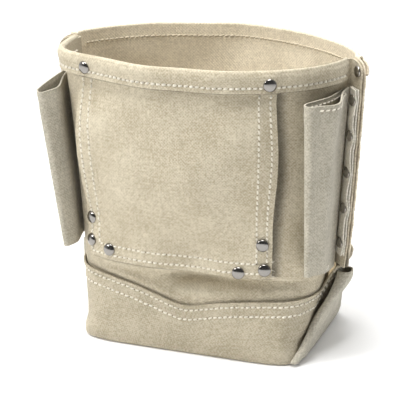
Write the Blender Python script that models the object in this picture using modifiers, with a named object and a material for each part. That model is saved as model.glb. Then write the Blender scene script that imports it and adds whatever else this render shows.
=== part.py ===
"""Canvas bolt bag with a belt tunnel and two pin sleeves, made of canvas sheets held by rivets.

Metres, +Z up. The origin is the centre of the underside, -Y is the side with the belt tunnel, and
+X is the right-hand side for someone who looks at that tunnel. Every sheet is an open surface with
a Solidify modifier, and every rivet is a turned profile.
"""

import math

import bmesh
import bpy
import numpy as np
from mathutils import Vector

# Driving dimensions
HEIGHT = 0.254
CANVAS = 0.0013                 # thickness of one layer of heavy duck
LAYER_GAP = 0.0005              # air between two layers that lie on each other
PITCH = CANVAS + LAYER_GAP      # middle of one layer to the middle of the next
SEAM_PITCH = PITCH + 0.0005     # the same where two layers don't follow each other closely
HALF = CANVAS / 2

BASE_HALF_WIDTH = 0.091         # side seam to middle, at the base and at the rim
RIM_HALF_WIDTH = 0.1215
FOOT_FLARE = 0.0175             # part of that widening which happens just above the base
FOOT_FLARE_SCALE = 0.042
BASE_HALF_DEPTH = 0.0605
RIM_HALF_DEPTH = 0.080
WAIST_DIP = 0.004               # the front tucks in just under the tunnel panel
WAIST_HEIGHT = 0.062
WAIST_SPREAD = 0.022
BASE_POWER = 8.0                # superellipse powers: square base, rounder rim
FRONT_RIM_POWER = 2.0
BACK_RIM_POWER = 1.5
POWER_FALL = 0.055
CORNER_PUSH = 0.0085            # the left front corner of the rim is pushed out, and not the base's
CORNER_PUSH_FROM = 0.090
CORNER_PUSH_TURN = math.radians(24)     # measured round from the left seam towards the front
CORNER_PUSH_SPREAD = math.radians(12)

HEM_WIDTH = 0.0195              # rim hem, turned to the outside
FRONT_HEM_OUT = 2 * SEAM_PITCH       # the tunnel panel's top edge is tucked inside this hem
BACK_HEM_OUT = 0.0024
BASE_EDGE = 0.005               # rounding at the bottom edge

FOLD = 0.0024                   # radius of the front panel's turn into the seam
FIN_LENGTH = 0.0165             # seam allowance that stands outside the bag
FIN_BOTTOM = 0.074
BACK_TRIM = 0.010               # the back wall bends into its fin from here
RIGHT_FIN = math.radians(45)    # direction of each fin, measured forward from straight out
LEFT_FIN = math.radians(22)

TUNNEL_TOP = HEIGHT - 0.0065
TUNNEL_BOTTOM = 0.0775
TUNNEL_MIDDLE = -0.0065
TUNNEL_HALF_TOP = 0.0845
TUNNEL_HALF_BOTTOM = 0.0815
TUNNEL_OPEN_LOW = 0.116         # between these heights the panel stands off for a belt
TUNNEL_OPEN_HIGH = 0.232
TUNNEL_STANDOFF = 0.008

BOOT_GAP = 0.0008
BOOT_CENTRE_TOP = 0.044         # lowest point of its scooped top edge, and its rise to the sides
BOOT_RISE = 0.0245
BOOT_RISE_SCALE = 0.048
BOOT_SCOOP_ROUND = 0.008

EAR_HALF_WIDTH = 0.050
EAR_TIP_HALF_WIDTH = 0.007
EAR_HEIGHT = 0.062
EAR_LEAN = 0.024
EAR_THICKNESS = 0.0032
EAR_FOOT = 0.0030               # its lower edge, inside the rounding of the boot's bottom edge

SLEEVE_TOP = 0.229
SLEEVE_BOTTOM = 0.085
SLEEVE_WIDTH_TOP = 0.060
SLEEVE_WIDTH_BOTTOM = 0.056
SLEEVE_ROOT = 0.00095           # radius of the loop's middle surface at the seam
ROOT_OUT = 0.0009               # hinge line of a sleeve, from the centre of the seam's fold
ROOT_FORWARD = 0.0066
SLEEVE_NOSE = 0.16              # the folded edge's radius, as a part of the sleeve's bulge
SLEEVE_NOSE_FLAT = 0.35         # and how far that edge stands out, as a part of its radius
# How each sleeve hangs. Every pair is its value at the bottom and at the mouth: the angle it swings
# inward from straight ahead, how far its outer and inner layers bulge apart, how far the inner layer
# bows outward over the front wall, and how much lower the folded edge is than the seam. fullest says
# how far forward the bulge is: above 1, it is nearer to the folded edge.
SLEEVES = {
    "left": {
        "hand": -1,
        "swing": (math.radians(-3), math.radians(-7)),
        "bulge_out": (0.0015, 0.0015),
        "bulge_in": (0.0065, 0.0115),
        "bow": (0.0, 0.0),
        "drop": (0.0020, 0.0095),
        "fullest": 3.1,
    },
    "right": {
        "hand": 1,
        "swing": (math.radians(4), math.radians(17)),
        "bulge_out": (0.0090, 0.0180),
        "bulge_in": (0.0, 0.0),
        "bow": (0.0020, 0.0035),
        "drop": (0.0020, 0.0010),
        "fullest": 2.2,
    },
}

TAB_THICKNESS = 0.0022
TAB_START = 0.0036

HEAD_RADIUS = 0.0054            # rivets of the tunnel panel
HEAD_HEIGHT = 0.0028
SEAM_HEAD_RADIUS = 0.0047       # rivets of the side seams
SEAM_HEAD_HEIGHT = 0.0023
SHANK_RADIUS = 0.0018
SHANK_PLAY = 0.0004
BURR_RADIUS = 0.0045
BURR_THICKNESS = 0.0009
HEAD_GAP = 0.0004
BURR_GAP = 0.0010
RIVET_RIM = 0.0006              # straight edge of a head, below its dome
SHANK_END = 0.0007              # the shank stands this far out of its burr
DRILL_OVER = 0.004              # a hole's cutter runs this far past the head, and past the burr
DRILL_UNDER = 0.002
RIVET_SIDES = 10
SEAM_RIVET_ALONG = 0.0102       # from the fold's centre out along the fin
SEAM_RIVET_HEIGHTS = (0.095, 0.126, 0.157, 0.189, 0.219, 0.243)
TUNNEL_RIVETS = {
    "tunnel_rivet_top_left": (-0.0825, 0.2440),
    "tunnel_rivet_top_right": (0.0732, 0.2430),
    "tunnel_rivet_upper_left": (-0.0845, 0.1105),
    "tunnel_rivet_upper_right": (0.0680, 0.1070),
    "tunnel_rivet_corner_left": (-0.0850, 0.0900),
    "tunnel_rivet_corner_right": (0.0695, 0.0850),
    "tunnel_rivet_lower_left": (-0.0665, 0.0860),
    "tunnel_rivet_lower_right": (0.0490, 0.0820),
}

WALL_COLUMNS = 23
BOOT_COLUMNS = 44
TUNNEL_COLUMNS = 15
SLOPE_STEP = 0.002              # half the distance over which a slope of the wall is taken

FRONT, BACK = -1, 1


def clear_scene():
    for obj in list(bpy.data.objects):
        bpy.data.objects.remove(obj, do_unlink=True)
    for name in ("canvas_bolt_bag", "cutters", "tunnel_hole_cutters", "seam_hole_cutters"):
        collection = bpy.data.collections.new(name)
        bpy.context.scene.collection.children.link(collection)
        if name != "canvas_bolt_bag":
            collection.hide_render = True


def material(name, colour, roughness, metallic=0.0):
    made = bpy.data.materials.new(name)
    made.use_nodes = True
    shader = made.node_tree.nodes["Principled BSDF"]
    shader.inputs["Base Color"].default_value = (*colour, 1.0)
    shader.inputs["Roughness"].default_value = roughness
    shader.inputs["Metallic"].default_value = metallic
    made.diffuse_color = (*colour, 1.0)
    return made


# The bag's shape


def seam_half_width(z):
    """Half the bag's width at the side seams, which opens quickly above the base."""
    flare = FOOT_FLARE * (1 - math.exp(-z / FOOT_FLARE_SCALE))
    slope = (RIM_HALF_WIDTH - BASE_HALF_WIDTH - FOOT_FLARE) / HEIGHT
    return BASE_HALF_WIDTH + flare + slope * z


def half_depth(side, z):
    depth = BASE_HALF_DEPTH + (RIM_HALF_DEPTH - BASE_HALF_DEPTH) * z / HEIGHT
    if side == FRONT:
        depth -= WAIST_DIP * np.exp(-(((z - WAIST_HEIGHT) / WAIST_SPREAD) ** 2))
    return depth


def corner_power(side, z):
    rim = FRONT_RIM_POWER if side == FRONT else BACK_RIM_POWER
    return rim + (BASE_POWER - rim) * math.exp(-z / POWER_FALL)


def corner_push(side, z, angle):
    """How far the wall is pushed out from its oval, for polar angles that run from -pi to 0."""
    rise = (z - CORNER_PUSH_FROM) / (HEIGHT - CORNER_PUSH_FROM)
    if side == BACK or rise <= 0:
        return 0 * angle
    turns = (angle + math.pi - CORNER_PUSH_TURN) / CORNER_PUSH_SPREAD
    bump = np.exp(-(turns**2)) - math.exp(-((CORNER_PUSH_TURN / CORNER_PUSH_SPREAD) ** 2))
    return CORNER_PUSH * rise * np.maximum(bump, 0)


def oval(half_x, half_y, power, out, start, stop, push=None, count=500):
    """Dense points of a superellipse between two polar angles, moved outward by out.

    push(angle) is added to its radius.
    """
    angle = np.linspace(start, stop, count)
    cos, sin = np.cos(angle), np.sin(angle)
    radius = (np.abs(cos / half_x) ** power + np.abs(sin / half_y) ** power) ** (-1 / power)
    if push:
        radius = radius + push(angle)
    points = np.stack([radius * cos, radius * sin], -1)
    along = np.gradient(points, axis=0) * np.sign(stop - start)
    along[[0, -1]] *= (0, 1)
    normal = np.stack([along[:, 1], -along[:, 0]], -1)
    return points + out * normal / np.linalg.norm(normal, axis=1, keepdims=True)


def resampled(points, count, closed=False):
    """Points at equal steps along the length of a dense curve."""
    length = np.r_[0, np.cumsum(np.linalg.norm(np.diff(points, axis=0), axis=1))]
    steps = np.linspace(0, length[-1], count, endpoint=not closed)
    return np.stack([np.interp(steps, length, points[:, k]) for k in range(2)], -1)


def back_shift():
    """How far the back panel's end passes outside the front panel's turn."""
    return (FOLD + SEAM_PITCH) * math.sqrt(0.5)


def front_curve(z, out=0.0, inset=0.0):
    """The whole front wall at one height, without its fins."""
    half_x = seam_half_width(z) - FOLD - inset
    half_y = half_depth(FRONT, z) - inset
    return oval(
        half_x, half_y, corner_power(FRONT, z), out, -math.pi, 0,
        push=lambda angle: corner_push(FRONT, z, angle),
    )


def wall_row(side, z, out, columns, inset=0.0):
    """One height of the front or back wall, from the left seam to the right one."""
    if side == FRONT:
        curve = front_curve(z, out, inset)
    else:
        half_x = seam_half_width(z) + back_shift() - inset
        half_y = half_depth(side, z) - back_shift() - inset
        curve = oval(half_x, half_y, corner_power(side, z), out, math.pi, 0)
        curve[:, 1] += back_shift()
        curve = curve[curve[:, 1] > BACK_TRIM]
        left, right = (fin_foot(hand, z, out + SEAM_PITCH) for hand in (-1, 1))
        curve = np.array([left + (inset, 0), *curve, right - (inset, 0)])
    return resampled(curve, columns)


def fin_direction(hand):
    """Unit vectors along a seam fin and across it, towards the front. hand is +1 on the right."""
    turn = RIGHT_FIN if hand > 0 else LEFT_FIN
    along = np.array([hand * math.cos(turn), -math.sin(turn)])
    across = np.array([-hand * math.sin(turn), -math.cos(turn)])
    return along, across


def fin_foot(hand, z, out):
    """Where the straight part of a fin starts, this far outside the front panel's turn."""
    return np.array([hand * seam_half_width(z), 0.0]) - fin_direction(hand)[1] * (FOLD + out)


def fin_points(hand, z, radius, start_turn, out=0.0):
    """A panel's end: its arc round the fold's centre, then straight out along the fin."""
    centre = np.array([hand * seam_half_width(z), 0.0])
    along, across = fin_direction(hand)
    turn_end = math.atan2(-across[1], -across[0] * hand)
    arc = [
        centre + (radius + out) * np.array([hand * math.cos(angle), math.sin(angle)])
        for angle in np.linspace(start_turn, turn_end, 5)[1:]
    ]
    straight = [
        centre - across * (radius + out) + along * FIN_LENGTH * step for step in (0.5, 1.0)
    ]
    return arc + straight


def front_row(z, out, inset=0.0):
    """The front panel with both its fins. Left fin first, then the wall, then the right fin."""
    left = fin_points(-1, z, FOLD, math.pi)[::-1]
    right = fin_points(1, z, FOLD, math.pi)
    return np.array(left + list(wall_row(FRONT, z, out, WALL_COLUMNS, inset)) + right)


def back_row(z, out, inset=0.0):
    """The back panel: its end turns only slightly to run into the fin."""
    wall = wall_row(BACK, z, out, WALL_COLUMNS, inset)
    rows = []
    for hand in (-1, 1):
        start = fin_foot(hand, z, out + SEAM_PITCH)
        along = fin_direction(hand)[0]
        rows.append([start + along * FIN_LENGTH * step for step in (0.3, 0.65, 1.0)])
    return np.array(rows[0][::-1] + list(wall) + rows[1])


FRONT_ENDS = 6      # columns of each fin beyond the wall, and rows that a fin reaches down
BACK_ENDS = 3
FIN_ROWS = 10


def hem_and_wall(row_at, hem_out):
    """Rows of a panel from the hem's free edge, over the rim and down to the base edge."""
    roll = hem_out / 2
    top = HEIGHT - HALF - roll
    rows = []
    for z in (HEIGHT - HEM_WIDTH, HEIGHT - HEM_WIDTH / 2, top):
        rows.append((row_at(z, hem_out), z))
    for angle in (45, 90, 135):
        turn = math.radians(angle)
        z = top + roll * math.sin(turn)
        rows.append((row_at(top, roll + roll * math.cos(turn)), z))
    hem_rows = len(rows)
    below_hem = HEIGHT - HEM_WIDTH
    heights = [top, below_hem, 0.206, 0.178, 0.150, 0.124, 0.109, 0.098, 0.089, 0.081]
    heights += [FIN_BOTTOM, 0.062, 0.050, 0.036, 0.020]
    rows += [(row_at(z, 0), z) for z in heights]
    floor = HALF + PITCH
    for angle in (0, 45, 90):
        turn = math.radians(angle)
        inset = BASE_EDGE * (1 - math.cos(turn))
        z = floor + BASE_EDGE * (1 - math.sin(turn))
        rows.append((row_at(z, 0, inset), z))
    points = np.array([[(x, y, z) for x, y in row] for row, z in rows])
    return points, hem_rows


# Objects


def new_object(name, mesh, collection, look=None):
    obj = bpy.data.objects.new(name, mesh)
    bpy.data.collections[collection].objects.link(obj)
    if look:
        mesh.materials.append(look)
    mesh.shade_smooth()
    mesh.set_sharp_from_angle(angle=math.radians(40))
    if collection != "canvas_bolt_bag":
        obj.hide_render = True
        obj.display_type = "WIRE"
    return obj


def surface_mesh(name, points, keep=None, closed=False, floor=None):
    """A grid of quads. keep(row, column) says which faces exist; floor names the last row's fill."""
    rows, columns = points.shape[:2]
    bm = bmesh.new()
    grid = [[bm.verts.new(p) for p in row] for row in points]
    for r in range(rows - 1):
        for c in range(columns if closed else columns - 1):
            if keep is None or keep(r, c):
                d = (c + 1) % columns
                bm.faces.new((grid[r][c], grid[r + 1][c], grid[r + 1][d], grid[r][d]))
    if floor:
        bm.faces.new(grid[-1][floor[0]:floor[1]])
    loose = [v for v in bm.verts if not v.link_faces]
    bmesh.ops.delete(bm, geom=loose, context="VERTS")
    bmesh.ops.recalc_face_normals(bm, faces=bm.faces)
    mesh = bpy.data.meshes.new(name)
    bm.to_mesh(mesh)
    bm.free()
    return mesh


def solidify(obj, thickness=CANVAS):
    modifier = obj.modifiers.new("thickness", "SOLIDIFY")
    modifier.thickness = thickness
    modifier.offset = 0.0
    modifier.use_even_offset = True


def cut_by(obj, collection):
    modifier = obj.modifiers.new("rivet_holes", "BOOLEAN")
    modifier.operation = "DIFFERENCE"
    modifier.operand_type = "COLLECTION"
    modifier.collection = bpy.data.collections[collection]


def front_panel(look):
    points, hem_rows = hem_and_wall(front_row, FRONT_HEM_OUT)
    columns = points.shape[1]
    first, last = FRONT_ENDS, columns - FRONT_ENDS - 1
    fin_row = hem_rows + FIN_ROWS

    def keep(r, c):
        on_wall = first <= c < last
        if r < hem_rows:
            return first < c < last - 1
        return on_wall or r < fin_row

    mesh = surface_mesh("front_panel", points, keep, floor=(first, last + 1))
    obj = new_object("front_panel", mesh, "canvas_bolt_bag", look)
    solidify(obj)
    cut_by(obj, "tunnel_hole_cutters")
    cut_by(obj, "seam_hole_cutters")


def back_panel(look):
    points, hem_rows = hem_and_wall(back_row, BACK_HEM_OUT)
    columns = points.shape[1]
    first, last = BACK_ENDS, columns - BACK_ENDS - 1
    fin_row = hem_rows + FIN_ROWS

    def keep(r, c):
        return first <= c < last or r < fin_row

    mesh = surface_mesh("back_panel", points, keep, floor=(first, last + 1))
    obj = new_object("back_panel", mesh, "canvas_bolt_bag", look)
    solidify(obj)
    cut_by(obj, "seam_hole_cutters")


def boot_row(z, inset=0.0):
    """One height of the boot, a closed loop round both panels."""
    half_x = seam_half_width(z) + back_shift() + PITCH + BOOT_GAP - inset
    power = corner_power(FRONT, z)
    halves = []
    for side, start, stop in ((FRONT, -math.pi, 0), (BACK, 0, math.pi)):
        half_y = half_depth(side, z) + PITCH + BOOT_GAP - inset
        halves.append(oval(half_x, half_y, power, 0, start, stop)[:-1])
    loop = np.concatenate(halves)
    return resampled(np.concatenate([loop, loop[:1]]), BOOT_COLUMNS, closed=True)


def boot_top(x):
    """Height of the scooped top edge of the boot."""
    reach = math.hypot(x, BOOT_SCOOP_ROUND) - BOOT_SCOOP_ROUND
    return BOOT_CENTRE_TOP + BOOT_RISE * (1 - math.exp(-reach / BOOT_RISE_SCALE))


def bottom_boot(look):
    low = HALF + BASE_EDGE
    middle = boot_row(0.05)
    rows = []
    for step in (1.0, 0.75, 0.5, 0.25, 0.0):
        row = []
        for c, (x, _) in enumerate(middle):
            z = low + (boot_top(x) - low) * step
            row.append((*boot_row(z)[c], z))
        rows.append(row)
    for angle in (45, 90):
        turn = math.radians(angle)
        z = HALF + BASE_EDGE * (1 - math.sin(turn))
        inset = BASE_EDGE * (1 - math.cos(turn))
        rows.append([(x, y, z) for x, y in boot_row(z, inset)])
    mesh = surface_mesh("bottom_boot", np.array(rows), closed=True, floor=(0, BOOT_COLUMNS))
    obj = new_object("bottom_boot", mesh, "canvas_bolt_bag", look)
    solidify(obj)
    for hand, side in ((-1, "left"), (1, "right")):
        ear = corner_ear(hand, side + "_ear")
        modifier = obj.modifiers.new(side + "_ear", "BOOLEAN")
        modifier.operation = "UNION"
        modifier.object = ear


def corner_ear(hand, name):
    """The corner of the boot folded up against the side: a flap that narrows to a tip."""
    foot_x = seam_half_width(0) + back_shift() + PITCH + BOOT_GAP + EAR_THICKNESS / 2
    rows = []
    for step in np.linspace(0, 1, 6):
        z = EAR_FOOT + (EAR_HEIGHT - EAR_FOOT) * step
        width = EAR_HALF_WIDTH + (EAR_TIP_HALF_WIDTH - EAR_HALF_WIDTH) * step
        x = foot_x + EAR_LEAN * step
        rows.append([(hand * x, width * k, z) for k in np.linspace(-1, 1, 9)])
    obj = new_object(name, surface_mesh(name, np.array(rows)), "cutters")
    solidify(obj, EAR_THICKNESS)
    return obj


def wall_frame(x, z):
    """Point of the front wall's middle surface at x, and its outward direction in plan."""
    curve = front_curve(z)
    curve = curve[np.argmin(curve[:, 0]):]      # from its leftmost point, x only grows
    before, y, after = np.interp((x - SLOPE_STEP, x, x + SLOPE_STEP), curve[:, 0], curve[:, 1])
    normal = np.array([after - before, -2 * SLOPE_STEP])
    return np.array([x, y]), normal / np.linalg.norm(normal)


def front_normal(x, z):
    """Outward direction of the front wall in space, from its slopes along x and z."""
    step = SLOPE_STEP
    along = np.array([*(wall_frame(x + step, z)[0] - wall_frame(x - step, z)[0]), 0.0])
    up = np.array([*(wall_frame(x, z + step)[0] - wall_frame(x, z - step)[0]), 2 * step])
    normal = np.cross(along, up)
    return normal / np.linalg.norm(normal)


def tunnel_offset(z):
    """Middle of the tunnel panel, measured out from the middle of the front wall."""
    step = (z - TUNNEL_OPEN_LOW) / (TUNNEL_OPEN_HIGH - TUNNEL_OPEN_LOW)
    return SEAM_PITCH + TUNNEL_STANDOFF * math.sin(math.pi * min(max(step, 0), 1)) ** 0.8


def belt_tunnel_panel(look):
    heights = [TUNNEL_TOP, 0.240, TUNNEL_OPEN_HIGH, 0.224, 0.210, 0.190, 0.172, 0.155]
    heights += [0.138, 0.125, TUNNEL_OPEN_LOW, 0.103, 0.090, TUNNEL_BOTTOM]
    rows = []
    for z in heights:
        step = (z - TUNNEL_BOTTOM) / (TUNNEL_TOP - TUNNEL_BOTTOM)
        half = TUNNEL_HALF_BOTTOM + (TUNNEL_HALF_TOP - TUNNEL_HALF_BOTTOM) * step
        row = []
        for k in np.linspace(-1, 1, TUNNEL_COLUMNS):
            point, normal = wall_frame(TUNNEL_MIDDLE + half * k, z)
            row.append((*(point + normal * tunnel_offset(z)), z))
        rows.append(row)
    mesh = surface_mesh("belt_tunnel_panel", np.array(rows))
    obj = new_object("belt_tunnel_panel", mesh, "canvas_bolt_bag", look)
    solidify(obj)
    cut_by(obj, "tunnel_hole_cutters")


# The pin sleeves


def hinge_point(hand, z):
    """A point of the line about which a sleeve swings, in the crotch of its seam."""
    return np.array([hand * (seam_half_width(z) + ROOT_OUT), -ROOT_FORWARD])


def hinge_line(hand):
    """The straight line nearest to the seam over the sleeve's height: its ends."""
    return [(*hinge_point(hand, z), z) for z in (SLEEVE_BOTTOM, SLEEVE_TOP)]


def sleeve_section(width, bulge_out, bulge_in, bow, fullest):
    """The loop in its own plane: u away from the seam, v towards the outside. Closed."""
    steps = np.linspace(0.06, 0.94, 9)
    bulge = np.sin(math.pi * steps**fullest) ** 0.9
    outer = np.stack([width * steps, SLEEVE_ROOT + bulge_out * bulge], -1)
    lift = bow * np.sin(math.pi * steps) ** 2
    inner = np.stack([width * steps, lift - SLEEVE_ROOT - bulge_in * bulge], -1)
    angle = np.radians((-60, 0, 60))
    root = -SLEEVE_ROOT * np.stack([np.cos(angle), np.sin(angle)], -1)
    radius = SLEEVE_ROOT + SLEEVE_NOSE * (bulge_out + bulge_in)
    middle = np.array([0.975 * width, SLEEVE_NOSE * (bulge_out - bulge_in)])
    fold = middle + radius * np.stack([SLEEVE_NOSE_FLAT * np.cos(angle), np.sin(angle)], -1)
    return np.concatenate([inner, fold, outer[::-1], root])


def pin_sleeve(name, shape, look):
    hand = shape["hand"]
    low, high = (np.array(p) for p in hinge_line(hand))
    rows = []
    for step in np.linspace(1, 0, 9):
        width = SLEEVE_WIDTH_BOTTOM + (SLEEVE_WIDTH_TOP - SLEEVE_WIDTH_BOTTOM) * step
        turn, bulge_out, bulge_in, bow, drop = (
            shape[key][0] + (shape[key][1] - shape[key][0]) * step
            for key in ("swing", "bulge_out", "bulge_in", "bow", "drop")
        )
        away = np.array([-hand * math.sin(turn), -math.cos(turn)])
        outside = np.array([hand * math.cos(turn), -math.sin(turn)])
        foot = low + (high - low) * step
        rows.append(
            [
                (*(foot[:2] + away * u + outside * v), foot[2] - drop * u / width)
                for u, v in sleeve_section(width, bulge_out, bulge_in, bow, shape["fullest"])
            ]
        )
    points = np.array(rows) - low
    mesh = surface_mesh(name, points, closed=True)
    obj = new_object(name, mesh, "canvas_bolt_bag", look)
    obj.location = low
    solidify(obj)


def sleeve_tab(hand, name, look):
    """The edges of a sleeve where they lie in the seam, in front of the front panel's fin."""
    along, across = fin_direction(hand)
    lift = FOLD - HALF - LAYER_GAP - TAB_THICKNESS / 2
    rows = []
    for z in np.linspace(SLEEVE_TOP, SLEEVE_BOTTOM, 7):
        centre = np.array([hand * seam_half_width(z), 0.0])
        row = [
            (*(centre - across * lift + along * reach), z)
            for reach in np.linspace(TAB_START, FIN_LENGTH - 0.0005, 4)
        ]
        rows.append(row)
    obj = new_object(name, surface_mesh(name, np.array(rows)), "canvas_bolt_bag", look)
    solidify(obj, TAB_THICKNESS)
    cut_by(obj, "seam_hole_cutters")


# Rivets


def turned(name, profile, collection, point, axis, look=None):
    """A profile of (radius, height) points, top to bottom, turned and set along an axis."""
    mesh = bpy.data.meshes.new(name)
    mesh.from_pydata(
        [(radius, 0, height) for radius, height in profile],
        [(k, k + 1) for k in range(len(profile) - 1)],
        [],
    )
    obj = new_object(name, mesh, collection, look)
    modifier = obj.modifiers.new("turned", "SCREW")
    modifier.axis = "Z"
    modifier.steps = RIVET_SIDES
    modifier.render_steps = RIVET_SIDES
    modifier.use_merge_vertices = True
    modifier.merge_threshold = 1e-5
    modifier.use_smooth_shade = True
    obj.location = point
    obj.rotation_euler = Vector(axis).to_track_quat("Z", "Y").to_euler()
    return obj


def rivet(name, point, axis, grip_out, grip_in, radius, height, cutters, looks):
    """A domed head outside, its shank through the layers, and a burr round it on the inside.

    grip_out and grip_in are the layers' outer and inner faces, measured from point along axis.
    """
    under = grip_out + HEAD_GAP
    base = under + RIVET_RIM
    inner = grip_in - BURR_GAP
    dome = [
        (radius * math.sin(angle), base + (height - RIVET_RIM) * math.cos(angle))
        for angle in np.radians((0, 35, 65, 90))
    ]
    end = inner - BURR_THICKNESS - SHANK_END
    shank = [(radius * 0.97, under), (SHANK_RADIUS, under), (SHANK_RADIUS, end), (0, end)]
    turned(name, dome + shank, "canvas_bolt_bag", point, axis, looks[0])
    hole = SHANK_RADIUS + SHANK_PLAY
    ring = [
        (hole, inner),
        (BURR_RADIUS, inner),
        (BURR_RADIUS * 0.9, inner - BURR_THICKNESS),
        (hole, inner - BURR_THICKNESS),
        (hole, inner),
    ]
    turned(name + "_burr", ring, "canvas_bolt_bag", point, axis, looks[1])
    top, bottom = under + DRILL_OVER, inner - DRILL_UNDER
    drill = [(0, top), (hole, top), (hole, bottom), (0, bottom)]
    turned(name + "_hole", drill, cutters, point, axis)


def tunnel_rivets(looks):
    for name, (x, z) in TUNNEL_RIVETS.items():
        point = (*wall_frame(x, z)[0], z)
        outer = FRONT_HEM_OUT if z > HEIGHT - HEM_WIDTH else tunnel_offset(z)
        rivet(
            name, point, front_normal(x, z), outer + HALF, -HALF, HEAD_RADIUS, HEAD_HEIGHT,
            "tunnel_hole_cutters", looks,
        )


def seam_rivets(looks):
    for hand, side in ((-1, "left"), (1, "right")):
        along, across = fin_direction(hand)
        for number, z in enumerate(SEAM_RIVET_HEIGHTS, 1):
            foot = np.array([hand * seam_half_width(z), 0.0]) + along * SEAM_RIVET_ALONG
            lean = hand * (seam_half_width(z + 0.005) - seam_half_width(z - 0.005)) / 0.01
            axis = np.array([*across, -lean * across[0]])
            in_tab = SLEEVE_BOTTOM < z < SLEEVE_TOP
            outer = -(FOLD - HALF) + (LAYER_GAP + TAB_THICKNESS if in_tab else 0)
            in_hem = z > HEIGHT - HEM_WIDTH
            inner = -(FOLD + SEAM_PITCH + HALF) - (BACK_HEM_OUT if in_hem else 0)
            rivet(
                f"{side}_seam_rivet_{number}", (*foot, z), axis, outer, inner,
                SEAM_HEAD_RADIUS, SEAM_HEAD_HEIGHT, "seam_hole_cutters", looks,
            )


def main():
    clear_scene()
    canvas = material("natural_canvas", (0.74, 0.68, 0.54), 0.92)
    sleeve_canvas = material("sleeve_canvas", (0.66, 0.63, 0.54), 0.92)
    boot_canvas = material("boot_canvas", (0.66, 0.60, 0.47), 0.92)
    nickel = material("nickel_rivet", (0.62, 0.60, 0.58), 0.22, 1.0)
    burr_steel = material("burr_steel", (0.55, 0.54, 0.52), 0.38, 1.0)
    tunnel_rivets((nickel, burr_steel))
    seam_rivets((nickel, burr_steel))
    front_panel(canvas)
    back_panel(canvas)
    bottom_boot(boot_canvas)
    belt_tunnel_panel(canvas)
    for side, shape in SLEEVES.items():
        pin_sleeve(side + "_pin_sleeve", shape, sleeve_canvas)
        sleeve_tab(shape["hand"], side + "_sleeve_seam_tab", sleeve_canvas)


main()
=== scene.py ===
"""The canvas bolt bag as it looks: creased duck canvas, sewn hems, nickel rivets, on a white floor.

Metres, in the frame's own axes: -Y is the side with the belt tunnel. The shape functions are the CAD
model's, sampled finely, with the cloth's own slack, hems, puckers and folds added. The rim's hem, the
boot's edge, the right ear and the sleeves differ from the CAD by a few millimetres.
"""

import math

import bpy
import numpy as np
from mathutils import Matrix, Vector


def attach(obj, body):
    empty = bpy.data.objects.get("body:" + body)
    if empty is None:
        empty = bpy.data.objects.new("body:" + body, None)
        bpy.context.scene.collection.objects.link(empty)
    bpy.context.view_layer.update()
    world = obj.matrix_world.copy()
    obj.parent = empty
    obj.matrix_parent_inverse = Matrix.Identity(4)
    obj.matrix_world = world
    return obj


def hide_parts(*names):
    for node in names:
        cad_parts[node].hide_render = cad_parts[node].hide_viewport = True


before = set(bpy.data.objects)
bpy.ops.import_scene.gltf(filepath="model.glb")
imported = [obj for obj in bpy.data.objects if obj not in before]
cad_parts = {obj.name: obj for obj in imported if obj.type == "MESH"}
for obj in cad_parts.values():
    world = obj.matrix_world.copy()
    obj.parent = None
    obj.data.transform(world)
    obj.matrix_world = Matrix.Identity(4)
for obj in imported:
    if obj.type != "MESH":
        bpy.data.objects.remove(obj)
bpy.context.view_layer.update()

# The bag's dimensions
HEIGHT = 0.254
CANVAS = 0.0013
LAYER_GAP = 0.0005
PITCH = CANVAS + LAYER_GAP
SEAM_PITCH = PITCH + 0.0005
HALF = CANVAS / 2
BASE_HALF_WIDTH = 0.091
RIM_HALF_WIDTH = 0.1215
FOOT_FLARE = 0.0175
FOOT_FLARE_SCALE = 0.042
BASE_HALF_DEPTH = 0.0605
RIM_HALF_DEPTH = 0.080
WAIST_DIP = 0.004
WAIST_HEIGHT = 0.062
WAIST_SPREAD = 0.022
BASE_POWER = 8.0
FRONT_RIM_POWER = 2.0
BACK_RIM_POWER = 1.5
POWER_FALL = 0.055
CORNER_PUSH = 0.0108
CORNER_PUSH_FROM = 0.090
CORNER_PUSH_TURN = math.radians(24)
CORNER_PUSH_SPREAD = math.radians(12)
HEM_WIDTH = 0.0180
HEM_EDGE = HEIGHT - HEM_WIDTH  # height of the hem's free edge
BACK_HEM_OUT = 0.0024
BASE_EDGE = 0.005
FOLD = 0.0024
FIN_LENGTH = 0.0165
FIN_BOTTOM = 0.074
BACK_TRIM = 0.010
RIGHT_FIN = math.radians(45)
LEFT_FIN = math.radians(22)
TUNNEL_TOP = HEIGHT - 0.0065
TUNNEL_BOTTOM = 0.0775
TUNNEL_MIDDLE = -0.0065
TUNNEL_HALF_TOP = 0.0845
TUNNEL_HALF_BOTTOM = 0.0815
TUNNEL_OPEN_LOW = 0.116
TUNNEL_OPEN_HIGH = 0.228
TUNNEL_STANDOFF = 0.008
BOOT_GAP = 0.0001
BOOT_CENTRE_TOP = 0.044
BOOT_RISE = 0.0245
BOOT_RISE_SCALE = 0.048
BOOT_SCOOP_ROUND = 0.016
EAR_TIP_HALF_WIDTH = 0.007
EAR_HEIGHT = 0.062
EAR_LEAN = 0.024
EAR_THICKNESS = 0.0032
EAR_FOOT = 0.0030
SLEEVE_TOP = 0.229
SLEEVE_BOTTOM = 0.085
SLEEVE_WIDTH_TOP = 0.060
SLEEVE_WIDTH_BOTTOM = 0.056
SLEEVE_ROOT = 0.00095
ROOT_OUT = 0.0009
ROOT_FORWARD = 0.0066
SLEEVE_NOSE = 0.28
SLEEVE_NOSE_FLAT = 0.85
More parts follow.
